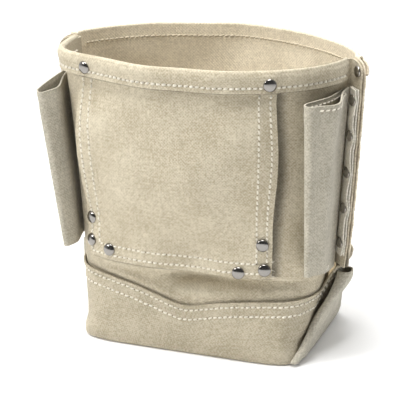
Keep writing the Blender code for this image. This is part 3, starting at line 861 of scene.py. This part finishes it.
def wall_painted_shade_distances(points):
    """How far the front wall's points lie from its crease lines, for the painted shade there: under the hem,
    round the tunnel, at the boot.
    """
    x, z = points[..., 0], points[..., 2]
    below_hem = from_line(HEM_EDGE - z, 0.0005)
    beside = from_line(x - TUNNEL_MIDDLE - tunnel_half(z) - 0.0008, 0.004, 0.35)
    beside = np.where(z > TUNNEL_BOTTOM, beside, NO_PAINTED_SHADE)
    above_boot = 0.0016 + np.abs(z - boot_top(x) - 0.0004)
    below_panel = 0.0004 + from_line(TUNNEL_BOTTOM - 0.0013 - z, 0.002, 0.8)
    below_panel = np.where(np.abs(x - TUNNEL_MIDDLE) < TUNNEL_HALF_BOTTOM, below_panel, NO_PAINTED_SHADE)
    nearest = np.minimum(np.minimum(below_hem, beside), np.minimum(above_boot, below_panel))
    return np.where(points[..., 1] < -0.012, nearest, NO_PAINTED_SHADE)


def hem_stitch_rows(hem_rows):
    """Rows of a panel's grid that the hem's stitches follow, outside and inside the rim."""
    return ROW_OUTER / HEM_ROW_STEP, hem_rows + (HEM_WIDTH - INSIDE_ROW_LIFT - ROW_OUTER) / WALL_ROW_STEP


def last_fin_row(points, hem_rows):
    wall_heights = points[hem_rows:, points.shape[1] // 2, 2]
    return hem_rows + int(np.argmin(np.abs(wall_heights - FIN_BOTTOM)))


def make_front_panel():
    points, hem_rows = hem_and_wall(front_row, front_hem_out)
    columns = points.shape[1]
    ends = FIN_ARC + FIN_COLUMNS
    first, last = ends, columns - ends - 1
    fin_last = last_fin_row(points, hem_rows)

    def keep(r, c):
        on_wall = (c >= first) & (c < last)
        on_hem = (c > first + 2) & (c < last - 4)
        return np.where(r < hem_rows, on_hem, on_wall | (r < fin_last))

    normals = grid_normals(points)
    # Painted shade near the wall's crease lines; none on the hem.
    painted_shade_distances = wall_painted_shade_distances(points)
    painted_shade_distances[:hem_rows] = NO_PAINTED_SHADE
    obj = cloth("front_panel_canvas", points, CANVAS_LOOK, keep, crease=painted_shade_distances)
    outer, inner = hem_stitch_rows(hem_rows)
    hem = seam_line(points, normals, [(outer, first + 5), (outer, last - 6)], lift=HALF + HEM_THREAD_LIFT)
    inside = seam_line(points, normals, [(inner, first + 5), (inner, last - 6)])
    thread = thread_rows("front_hem_thread", [hem, inside], THREAD_LOOK, HEM_THREAD_RADIUS)
    return obj, thread


def make_back_panel():
    points, hem_rows = hem_and_wall(back_row, lambda x: BACK_HEM_OUT + 0 * x)
    columns = points.shape[1]
    first, last = FIN_COLUMNS, columns - FIN_COLUMNS - 1
    fin_last = last_fin_row(points, hem_rows)

    def keep(r, c):
        on_wall = (c >= first) & (c < last)
        return on_wall | ((r >= hem_rows) & (r < fin_last)) | ((r < hem_rows) & (r > 3))

    normals = grid_normals(points)
    # Painted shade on the back wall's outside, low at the seams, above and behind the boot's edge.
    painted_shade_behind_boot = PAINTED_SHADE_REACH * rise(points[..., 2], 0.078, 0.015)
    at_seams = (np.abs(points[..., 0]) > 0.100) & (points[..., 1] < 0.03)
    painted_shade_distances = np.where(at_seams, painted_shade_behind_boot, NO_PAINTED_SHADE)
    obj = cloth("back_panel_canvas", points, BACK_PAINTED_LIGHT_LOOK, keep, crease=painted_shade_distances)
    outer, inner = hem_stitch_rows(hem_rows)
    hem = seam_line(points, normals, [(outer, first + 2), (outer, last - 2)], side=-1)
    inside = seam_line(points, normals, [(inner, first + 6), (inner, last - 6)], side=-1)
    thread = thread_rows("back_hem_thread", [hem, inside], DULL_THREAD_LOOK)
    return obj, thread


def tunnel_offset(z):
    step = (z - TUNNEL_OPEN_LOW) / (TUNNEL_OPEN_HIGH - TUNNEL_OPEN_LOW)
    return SEAM_PITCH + TUNNEL_STANDOFF * math.sin(math.pi * min(max(step, 0), 1)) ** 1.1


SLOPE_STEP = 0.002  # the wall's slope is taken between points this far on either side


def wall_frame(x, z):
    """Points of the front wall's middle surface at x, and their outward directions in plan."""
    curve = front_curve(z, dented=False)
    curve = curve[np.argmin(curve[:, 0]):]
    moves = (-SLOPE_STEP, 0, SLOPE_STEP)
    before, y, after = (np.interp(x + move, curve[:, 0], curve[:, 1]) for move in moves)
    return np.stack([x + 0 * y, y], -1), unit(np.stack([after - before, -2 * SLOPE_STEP + 0 * y], -1))


def front_normal(x, z):
    step = SLOPE_STEP
    along = np.array([*(wall_frame(x + step, z)[0] - wall_frame(x - step, z)[0]), 0.0])
    up = np.array([*(wall_frame(x, z + step)[0] - wall_frame(x, z - step)[0]), 2 * step])
    return unit(np.cross(along, up))


def make_belt_tunnel():
    heights = np.linspace(TUNNEL_TOP, TUNNEL_BOTTOM, TUNNEL_ROWS)
    across = np.linspace(-1, 1, TUNNEL_COLUMNS)
    rows = []
    for z in heights:
        half = tunnel_half(z)
        x = TUNNEL_MIDDLE + half * across
        points, normals = wall_frame(x, z)
        edge = half * (1 - np.abs(across))
        low = z - TUNNEL_BOTTOM
        band = 1 - smooth((np.minimum(edge, low) - BAND) / 0.004)
        loose = smooth(low / 0.05) * smooth((HEM_EDGE - z) / 0.02)
        loose = loose * (0.25 + 0.75 * smooth(edge / 0.03))
        taut = TAUT * rise(x, 0.01, 0.06) * bell(z, 0.165, 0.045)
        height = tunnel_offset(z) - taut + BAND_RISE * band + tunnel_slack(x, z) * loose
        height = height - 0.7 * GROOVE * (two_grooves(edge) + two_grooves(low))
        height = height + pucker(x, z) * band * 0.9
        for rivet_x, rivet_z in TUNNEL_RIVETS.values():
            away = (x - rivet_x) ** 2 + (z - rivet_z) ** 2
            height = height - RIVET_DENT * np.exp(-away / RIVET_DENT_RADIUS**2)
        row = points + normals * height[:, None]
        rows.append([(px, py, z) for px, py in row])
    points = np.array(rows)
    normals = grid_normals(points)
    # Painted shade just under the rim's hem.
    painted_shade_distances = from_line(HEM_EDGE - points[..., 2], 0.0020)
    obj = cloth("belt_tunnel_canvas", points, CANVAS_LOOK, crease=painted_shade_distances)
    last_row, last_column = TUNNEL_ROWS - 1, TUNNEL_COLUMNS - 1
    column = TUNNEL_HALF_TOP * 2 / last_column
    row = (TUNNEL_TOP - TUNNEL_BOTTOM) / last_row
    lines = []
    for inset in (ROW_OUTER, ROW_INNER):
        left, low = inset / column, last_row - inset / row
        for side in (left, last_column - left):
            lines.append(seam_line(points, normals, [(8.5, side), (low, side)], side=-1))
        lines.append(seam_line(points, normals, [(low, left), (low, last_column - left)], side=-1))
    thread = thread_rows("belt_tunnel_thread", lines, THREAD_LOOK)
    return obj, thread


FRAYED_ENDS = 11
FRAYED_HEIGHTS = (0.0925, 0.0790)
FRAYED_RADIUS = 0.00022
FRAYED_RINGS = 7
FRAYED_SIDES = 5


def make_frayed_ends():
    """Loose ends of yarn at the tunnel panel's lower right corner."""
    rng = np.random.default_rng(7)
    verts, faces = [], []
    for _ in range(FRAYED_ENDS):
        z = rng.choice(FRAYED_HEIGHTS) + rng.normal(0, 0.0028)
        z = max(z, TUNNEL_BOTTOM + 0.0004)
        x = TUNNEL_MIDDLE + tunnel_half(z) - 0.0012
        place, normal = wall_frame(x, z)
        point = np.array([*(place + normal * (SEAM_PITCH + HALF)), z])
        out = np.array([*normal, 0.0])
        way = np.array([-normal[1], normal[0], 0.0]) * rng.uniform(0.5, 1) + out * rng.uniform(0.2, 0.6)
        way = way + np.array([0, 0, rng.uniform(-0.7, 0.5)])
        curl = np.cross(way, out) * rng.uniform(-1.2, 1.2)
        base = len(verts)
        for step in np.linspace(0, 1, FRAYED_RINGS):
            centre = point + (way * step + curl * step**2 * 0.5) * rng.uniform(0.0042, 0.0048)
            size = FRAYED_RADIUS * (1 - 0.6 * step)
            for turn in full_turn(FRAYED_SIDES):
                spoke = math.cos(turn) * out + math.sin(turn) * np.array([0, 0, 1.0])
                verts.append(tuple(centre + size * spoke))
        faces += tube_faces(base, FRAYED_RINGS, FRAYED_SIDES)
    obj = add_mesh("belt_tunnel_frayed_ends", verts, faces, THREAD_LOOK)
    obj.data.shade_smooth()
    return obj


BOOT_COLUMNS = 330
BOOT_EDGE = 0.0032  # rounding of the boot's bottom edge
FOOT_SPREAD = (0.0032, 0.0030)  # the boot's foot spreads to the left and to the front
SEAM_RISE = 0.0165  # the boot's edge is pulled up over the right seam's foot
SEAM_FLARE = 0.0045  # and stands away there


def boot_row(z, inset=0.0):
    half_x = seam_half_width(z) + back_shift() + PITCH + BOOT_GAP - inset
    power = corner_power(FRONT, z)
    halves = []
    for side, start, stop in ((FRONT, -math.pi, 0), (BACK, 0, math.pi)):
        half_y = half_depth(side, z) + PITCH + BOOT_GAP - inset
        halves.append(oval(half_x, half_y, power, 0, start, stop)[:-1])
    loop = np.concatenate(halves)
    at_sides = smooth(np.abs(loop[:, 0]) / half_x * 4 - 3)
    tight = smooth((0.012 - loop[:, 1]) / 0.03) * smooth(z / 0.02) * at_sides
    loop[:, 0] -= BOOT_SIDE_TUCK * tight * np.sign(loop[:, 0])
    sag = 1 - smooth(z / 0.040)
    loop[:, 0] -= FOOT_SPREAD[0] * sag * smooth(-loop[:, 0] / half_x * 4 - 3)
    loop[:, 1] -= FOOT_SPREAD[1] * sag * smooth(-loop[:, 1] / BASE_HALF_DEPTH * 3 - 1.8)
    return resampled(np.concatenate([loop, loop[:1]]), BOOT_COLUMNS, closed=True)


def make_boot():
    low = HALF + BOOT_EDGE
    middle = boot_row(0.05)
    tops = boot_top(middle[:, 0])
    at_seam = rise(middle[:, 0], 0.0985, 0.009) * rise(middle[:, 1], -0.024, 0.016)
    tops = tops + SEAM_RISE * at_seam
    known_rows = {}
    rows = []
    for step in np.linspace(1, 0, BOOT_ROWS):
        row = []
        for column, z in enumerate(between(low, tops, step)):
            level = round(z, 4)
            if level not in known_rows:
                known_rows[level] = boot_row(level)
            row.append((*known_rows[level][column], z))
        rows.append(row)
    for inward, up in quarter(7):
        z = HALF + BOOT_EDGE * up
        rows.append([(x, y, z) for x, y in boot_row(z, BOOT_EDGE * inward)])
    last = np.array(rows[-1])
    for step in np.linspace(0, 1, 16)[1:]:
        left = 1 - FLOOR_REACH * step
        rows.append(last * (left, left, 1))
    points = np.array(rows)
    normals = -grid_normals(points, closed=True)
    if normals[5, 0, 0] > 0:
        normals = -normals
    down = tops[None, :] - points[..., 2]
    walls = (np.arange(len(rows)) < BOOT_ROWS)[:, None]
    ridge = BOOT_HEM[0] * fall(down, 0.0022, 0.0016) + BOOT_HEM[1] * fall(down, 0.014, 0.004)
    height = ridge - 0.6 * GROOVE * two_grooves(down)
    x, y, z = (points[..., k] for k in range(3))
    slow = np.maximum(boot_slack(x * 1.3 + y, z) + 0.0004, -0.0002)
    height = height + slow * smooth(down / 0.02) * rise(z, 0.002, 0.012)
    height = height + SEAM_FLARE * at_seam * (1 - smooth(down / 0.010))
    height = height + pucker(x + y, z) * fall(down, 0.012, 0.008)
    points = points + normals * (height * walls)[..., None]
    obj = cloth("bottom_boot_canvas", points, BOOT_LOOK, closed=True)
    normals = grid_normals(points, closed=True)
    side = 1 if normals[5, 0, 0] * points[5, 0, 0] > 0 else -1
    lines = []
    for inset in (ROW_OUTER, ROW_INNER):
        row = inset / (tops - low) * (BOOT_ROWS - 1)
        path = [(row[c], c) for c in range(0, len(tops), 3)]
        lines.append(seam_line(points, normals, path, side=side))
    thread = thread_rows("boot_thread", lines, THREAD_LOOK)
    return obj, thread


EAR_TUBE = 0.0046  # radius of the rolled tip
EAR_FLAT = 0.0017  # half thickness of the two layers below it
EAR_REACH = {-1: 0.040, 1: 0.0612}  # half width at the foot: the right ear reaches the front corner
EAR_WRAP = (0.0034, 0.0026)  # it wraps round that corner, at its foot and at its middle
EAR_TIP_LEAN = 0.36  # share of the CAD ear's lean that the right ear's tip has


def make_ear(hand, name):
    """A boot corner folded up: two layers with a rolled front edge, rolled into a tube at the tip."""
    foot_x = seam_half_width(0) + back_shift() + PITCH + BOOT_GAP + EAR_THICKNESS / 2
    turn = full_turn(120)
    rows = []
    for step in np.linspace(1, 0, 44):
        z = between(EAR_FOOT, EAR_HEIGHT + 0.006, step)
        half_y = between(EAR_REACH[hand], EAR_TIP_HALF_WIDTH, step)
        half_x = between(EAR_FLAT, EAR_TUBE, rise(step, 0.45, 0.5))
        power = 2.6 - 0.6 * step
        radius = (np.abs(np.cos(turn)) ** power + np.abs(np.sin(turn)) ** power) ** (-1 / power)
        x = half_x * radius * np.cos(turn)
        y = half_y * radius * np.sin(turn)
        front = bell(y, -half_y + 0.003, 0.004)
        crease = sleeve_slack(y * 1.2 + 0.02 * hand, z * 0.8) * smooth(step * 4) * (x > 0)
        x = x + (0.0014 + 0.0010 * (1 - step)) * front * np.sign(x) + 1.6 * crease
        x = x - EAR_WRAP[0] * rise(-y, 0.042, 0.018) * (1 - step)
        x = x - EAR_WRAP[1] * rise(-y, 0.016, 0.016) * bell(step, 0.38, 0.26) * (hand > 0)
        wall = seam_half_width(z) + back_shift() + 0.0008
        tip = (foot_x + EAR_LEAN - wall) * rise(step, 0.5, 0.5)
        centre = wall + half_x + (tip * EAR_TIP_LEAN if hand > 0 else -0.002)
        rows.append(np.stack([hand * (centre + x), y, z + 0 * y], -1))
    return cloth(name, np.array(rows), EAR_PAINTED_LIGHT_LOOK, closed=True, thickness=EAR_CANVAS)


# Sleeves

INNER_POINTS = 40  # points of a sleeve's inner side, and of its fold or its root
TURN_POINTS = 9
FIRST_OUTER = INNER_POINTS + TURN_POINTS
SLEEVE_ROWS = 96
SLEEVE_HEM = 0.0038  # the sleeve's stitch row, from its top edge
BAR_TACK_ROWS = (91.4, 92.5)  # the right sleeve's bar tack: two short rows on its grid
BAR_TACK_COLUMNS = (64, 71)


def hinge_point(hand, z):
    return np.array([hand * (seam_half_width(z) + ROOT_OUT), -ROOT_FORWARD])


def sleeve_section(width, bulge_out, bulge_in, bow, fullest):
    """The loop in its own plane: u away from the seam, v towards the outside. Closed."""
    steps = np.linspace(0.03, 0.955, INNER_POINTS)
    bulge = np.sin(math.pi * steps**fullest) ** 0.9
    outer = np.stack([width * steps, SLEEVE_ROOT + bulge_out * bulge], -1)
    lift = bow * np.sin(math.pi * steps) ** 2
    inner = np.stack([width * steps, lift - SLEEVE_ROOT - bulge_in * bulge], -1)
    angle = np.radians(np.linspace(-75, 75, TURN_POINTS))
    root = -SLEEVE_ROOT * np.stack([np.cos(angle), np.sin(angle)], -1)
    radius = SLEEVE_ROOT + SLEEVE_NOSE * (bulge_out + bulge_in)
    middle = np.array([0.975 * width, SLEEVE_NOSE * (bulge_out - bulge_in)])
    fold = middle + radius * np.stack([SLEEVE_NOSE_FLAT * np.cos(angle), np.sin(angle)], -1)
    return np.concatenate([inner, fold, outer[::-1], root])


def relaxed(loop, times):
    """A closed loop of points with its corners rounded off."""
    for _ in range(times):
        loop = 0.5 * loop + 0.25 * (np.roll(loop, 1, axis=0) + np.roll(loop, -1, axis=0))
    return loop


def make_sleeve(side):
    shape = SLEEVES[side]
    hand = shape["hand"]
    low, high = (np.array([*hinge_point(hand, z), z]) for z in (SLEEVE_BOTTOM, SLEEVE_TOP))
    rows = []
    for step in np.linspace(1, 0, SLEEVE_ROWS):
        width = between(SLEEVE_WIDTH_BOTTOM, SLEEVE_WIDTH_TOP, step)
        turn, bulge_out, bulge_in, bow, drop = (
            between(*shape[key], step) for key in ("swing", "bulge_out", "bulge_in", "bow", "drop")
        )
        away = np.array([-hand * math.sin(turn), -math.cos(turn)])
        outside = np.array([hand * math.cos(turn), -math.sin(turn)])
        foot = between(low, high, step)
        section = relaxed(sleeve_section(width, bulge_out, bulge_in, bow, shape["fullest"]), 6)
        u, v = section[:, 0], section[:, 1]
        down = (1 - step) * (SLEEVE_TOP - SLEEVE_BOTTOM)
        free = smooth(u / 0.02) * smooth((width - u) / 0.012)
        outer = np.arange(len(u)) >= FIRST_OUTER
        loose = sleeve_slack(u + 0.1 * outer, foot[2]) * free * np.where(outer, 1.0, -0.4)
        groove = 0.7 * GROOVE * bell(down, SLEEVE_HEM, GROOVE_WIDTH)
        hem = 0.0005 * fall(down, 0.0125, 0.003) - groove
        v = v + loose + np.where(outer, hem, -hem) * smooth(u / 0.01)
        xy = foot[:2] + away * u[:, None] + outside * v[:, None]
        reach = SLEEVE_TAIL * smooth((0.25 - step) / 0.25) * smooth(1 - u / width) * (hand > 0)
        rows.append(np.column_stack([xy, foot[2] - drop * u / width - reach]))
    points = np.array(rows)
    obj = cloth(f"{side}_sleeve_canvas", points, SLEEVE_LOOK, closed=True)
    normals = grid_normals(points, closed=True)
    middle = FIRST_OUTER + INNER_POINTS // 2
    toward = np.sign(normals[40, middle] @ np.array([hand, 0, 0]))
    pitch = (SLEEVE_TOP - SLEEVE_BOTTOM) / (SLEEVE_ROWS - 1)
    row = SLEEVE_HEM / pitch
    lines = [
        seam_line(points, normals, [(row, FIRST_OUTER + 1), (row, 86)], side=toward),
        seam_line(points, normals, [(row, INNER_POINTS - 1), (row, 4)], side=-toward),
    ]
    if hand > 0:
        for tack in BAR_TACK_ROWS:
            path = [(tack, column) for column in BAR_TACK_COLUMNS]
            lines.append(seam_line(points, normals, path, side=toward))
    thread = thread_rows(f"{side}_sleeve_thread", lines, THREAD_LOOK, SLEEVE_THREAD_RADIUS)
    return obj, thread


def make_seam_edges(side):
    """The sleeve's two cut edges in the seam, one over the other, apart between the rivets."""
    hand = SLEEVES[side]["hand"]
    along, across = fin_direction(hand)
    lift = FOLD - HALF - LAYER_GAP - TAB_THICKNESS / 2
    made = []
    for number, shift, spread in ((1, 0.00058, 0.0024), (2, -0.00058, 0.0009)):
        rows = []
        for z in np.linspace(SLEEVE_TOP, SLEEVE_BOTTOM, 92):
            centre = np.array([hand * seam_half_width(z), 0.0])
            reach = fin_reach(z, 5.0 + number) - 0.0004
            row = []
            for step in np.linspace(0, 1, 10):
                s = TAB_START + (reach - TAB_START) * step
                out = spread * between_rivets(z) * step**0.8
                row.append((*(centre - across * (lift - shift) + along * s + across * out), z))
            rows.append(row)
        name = f"{side}_seam_edge_{number}"
        made.append(cloth(name, np.array(rows), EDGE_PAINTED_LIGHT_LOOK, thickness=SEAM_EDGE_CANVAS))
    return made


# Rivets


RIVET_STEPS = 48


def turned(name, profile, point, axis, look):
    edges = [(k, k + 1) for k in range(len(profile) - 1)]
    obj = add_mesh(name, [(r, 0, h) for r, h in profile], [], look, edges)
    modifier = obj.modifiers.new("turned", "SCREW")
    modifier.axis = "Z"
    modifier.steps = RIVET_STEPS
    modifier.render_steps = RIVET_STEPS
    modifier.use_merge_vertices = True
    modifier.merge_threshold = 1e-5
    modifier.use_smooth_shade = True
    obj.location = point
    obj.rotation_euler = Vector(axis).to_track_quat("Z", "Y").to_euler()
    return finished(obj)


def make_rivet(name, point, axis, grip_out, grip_in, radius, height, sink):
    under = grip_out + HEAD_GAP - sink
    base = under + RIVET_RIM + sink
    inner = grip_in - BURR_GAP
    dome = [
        (radius * math.sin(angle), base + (height - RIVET_RIM) * math.cos(angle) ** 1.15)
        for angle in np.radians(np.linspace(0, 90, 14))
    ]
    end = inner - BURR_THICKNESS - SHANK_END
    shank = [(radius * 0.96, under), (SHANK_RADIUS, under), (SHANK_RADIUS, end), (0, end)]
    # The seam rivets take the lighter copy of the nickel: painted light.
    look = NICKEL_PAINTED_REFLECTION_LOOK if radius == HEAD_RADIUS else SEAM_NICKEL_PAINTED_LIGHT_LOOK
    head = turned(name + "_nickel", dome + shank, point, axis, look)
    hole = SHANK_RADIUS + SHANK_PLAY
    soft = 0.25 * BURR_THICKNESS
    ring = [
        (hole, inner),
        (BURR_RADIUS - soft, inner),
        (BURR_RADIUS, inner - soft),
        (BURR_RADIUS * 0.96, inner - BURR_THICKNESS),
        (hole + 0.0007, inner - BURR_THICKNESS - 0.0003),
        (hole, inner - BURR_THICKNESS),
        (hole, inner),
    ]
    burr = turned(name + "_washer", ring, point, axis, BURR_LOOK)
    for piece, node, slot in ((head, name, "nickel_rivet"), (burr, name + "_burr", "burr_steel")):
        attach(piece, "bag")
        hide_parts(node)


def make_rivets():
    for place, (x, z) in TUNNEL_RIVETS.items():
        outer = 2 * SEAM_PITCH if z > HEM_EDGE else tunnel_offset(z)
        make_rivet(
            "tunnel_rivet_" + place, (*wall_frame(x, z)[0], z), front_normal(x, z), outer + HALF, -HALF,
            HEAD_RADIUS, HEAD_HEIGHT, HEAD_SINK,
        )
    for hand, side in ((-1, "left"), (1, "right")):
        along, across = fin_direction(hand)
        for number, z in enumerate(SEAM_RIVET_HEIGHTS, 1):
            foot = np.array([hand * seam_half_width(z), 0.0]) + along * SEAM_RIVET_ALONG
            lean = hand * (seam_half_width(z + 0.005) - seam_half_width(z - 0.005)) / 0.01
            axis = np.array([*across, -lean * across[0]])
            in_tab = SLEEVE_BOTTOM < z < SLEEVE_TOP
            outer = -(FOLD - HALF) + (LAYER_GAP + TAB_THICKNESS if in_tab else 0)
            in_hem = z > HEM_EDGE
            inner = -(FOLD + SEAM_PITCH + HALF) - (BACK_HEM_OUT if in_hem else 0)
            make_rivet(
                f"{side}_seam_rivet_{number}", (*foot, z), axis, outer, inner,
                SEAM_HEAD_RADIUS, SEAM_HEAD_HEIGHT, SEAM_HEAD_SINK,
            )


# The studio

AIM = Vector((-0.01021, 0.0, 0.11501))
DISTANCE = 1.367
AZIMUTH = math.radians(20.95)
ELEVATION = math.radians(19.54)
ROLL = math.radians(-0.6)


def make_camera():
    back = Vector((
        math.sin(AZIMUTH) * math.cos(ELEVATION),
        -math.cos(AZIMUTH) * math.cos(ELEVATION),
        math.sin(ELEVATION),
    ))
    right = Vector((math.cos(AZIMUTH), math.sin(AZIMUTH), 0))
    up = back.cross(right)
    across = math.cos(ROLL) * right + math.sin(ROLL) * up
    upward = -math.sin(ROLL) * right + math.cos(ROLL) * up
    camera = add_object("camera", bpy.data.cameras.new("camera"))
    camera.data.lens = 142.5
    camera.data.sensor_width = 36
    turn = Matrix((across, upward, back)).transposed()
    camera.matrix_world = Matrix.Translation(AIM + back * DISTANCE) @ turn.to_4x4()
    bpy.context.scene.camera = camera


def area_light(name, place, size, power, colour=(1, 1, 1)):
    light = bpy.data.lights.new(name, "AREA")
    light.shape = "SQUARE"
    light.size = size
    light.energy = power
    light.color = colour
    obj = add_object(name, light)
    obj.location = place
    obj.rotation_euler = (AIM - Vector(place)).to_track_quat("-Z", "Y").to_euler()


def make_studio():
    world = bpy.data.worlds.new("studio")
    world.use_nodes = True
    tree = world.node_tree
    background = tree.nodes["Background"]
    place = tree.nodes.new("ShaderNodeTexCoord")
    x, y, _ = separated(tree, place.outputs["Generated"])
    behind = math_node(tree, "SUBTRACT", y, math_node(tree, "MULTIPLY", x, 0.42))
    tree.links.new(map_range(tree, behind, 0.12, 1.10, (-0.5, 0.6)), background.inputs["Strength"])
    set_inputs(background, Color=(1, 1, 1, 1))
    bpy.context.scene.world = world
    area_light("key", (-1.45, -1.2, 1.3), 0.45, 17.5, (1.0, 0.985, 0.96))
    area_light("top", (-0.1, -0.26, 1.9), 1.0, 42)
    area_light("side", (1.5, -0.4, 0.7), 1.0, 0.4, (0.88, 0.94, 1.0))
    floor = add_mesh("floor", [(-4, -4, 0), (4, -4, 0), (4, 6, 0), (-4, 6, 0)], [(0, 1, 2, 3)], None)
    made, tree, shader = new_material("white_floor")
    place = tree.nodes.new("ShaderNodeTexCoord")
    tone = noise_node(tree, place.outputs["Object"], 3.0)
    tree.links.new(map_range(tree, tone, 0.90, 0.94), shader.inputs["Base Color"])
    set_inputs(shader, Roughness=0.9, Emission_Color=(1, 1, 1, 1), Emission_Strength=0.07)
    floor.data.materials.clear()
    floor.data.materials.append(made)
    bpy.context.scene.view_settings.view_transform = "Standard"


def on_bag(pieces, slot, *nodes):
    for piece in pieces:
        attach(piece, "bag")
    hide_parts(*nodes)


def main():
    make_camera()
    make_studio()
    panel, hem_thread = make_front_panel()
    on_bag((panel, hem_thread), "natural_canvas", "front_panel")
    back, back_thread = make_back_panel()
    on_bag((back, back_thread), "natural_canvas", "back_panel")
    tunnel, tunnel_thread = make_belt_tunnel()
    frayed = make_frayed_ends()
    on_bag((tunnel, tunnel_thread, frayed), "natural_canvas", "belt_tunnel_panel")
    boot, boot_thread = make_boot()
    ears = [make_ear(hand, side + "_boot_ear") for hand, side in ((-1, "left"), (1, "right"))]
    on_bag((boot, boot_thread, *ears), "boot_canvas", "bottom_boot")
    for side in SLEEVES:
        edges = make_seam_edges(side)
        on_bag(edges, "sleeve_canvas", side + "_sleeve_seam_tab")
        sleeve, thread = make_sleeve(side)
        for piece in (sleeve, thread):
            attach(piece, side + "_sleeve")
        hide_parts(side + "_pin_sleeve")
    make_rivets()


main()
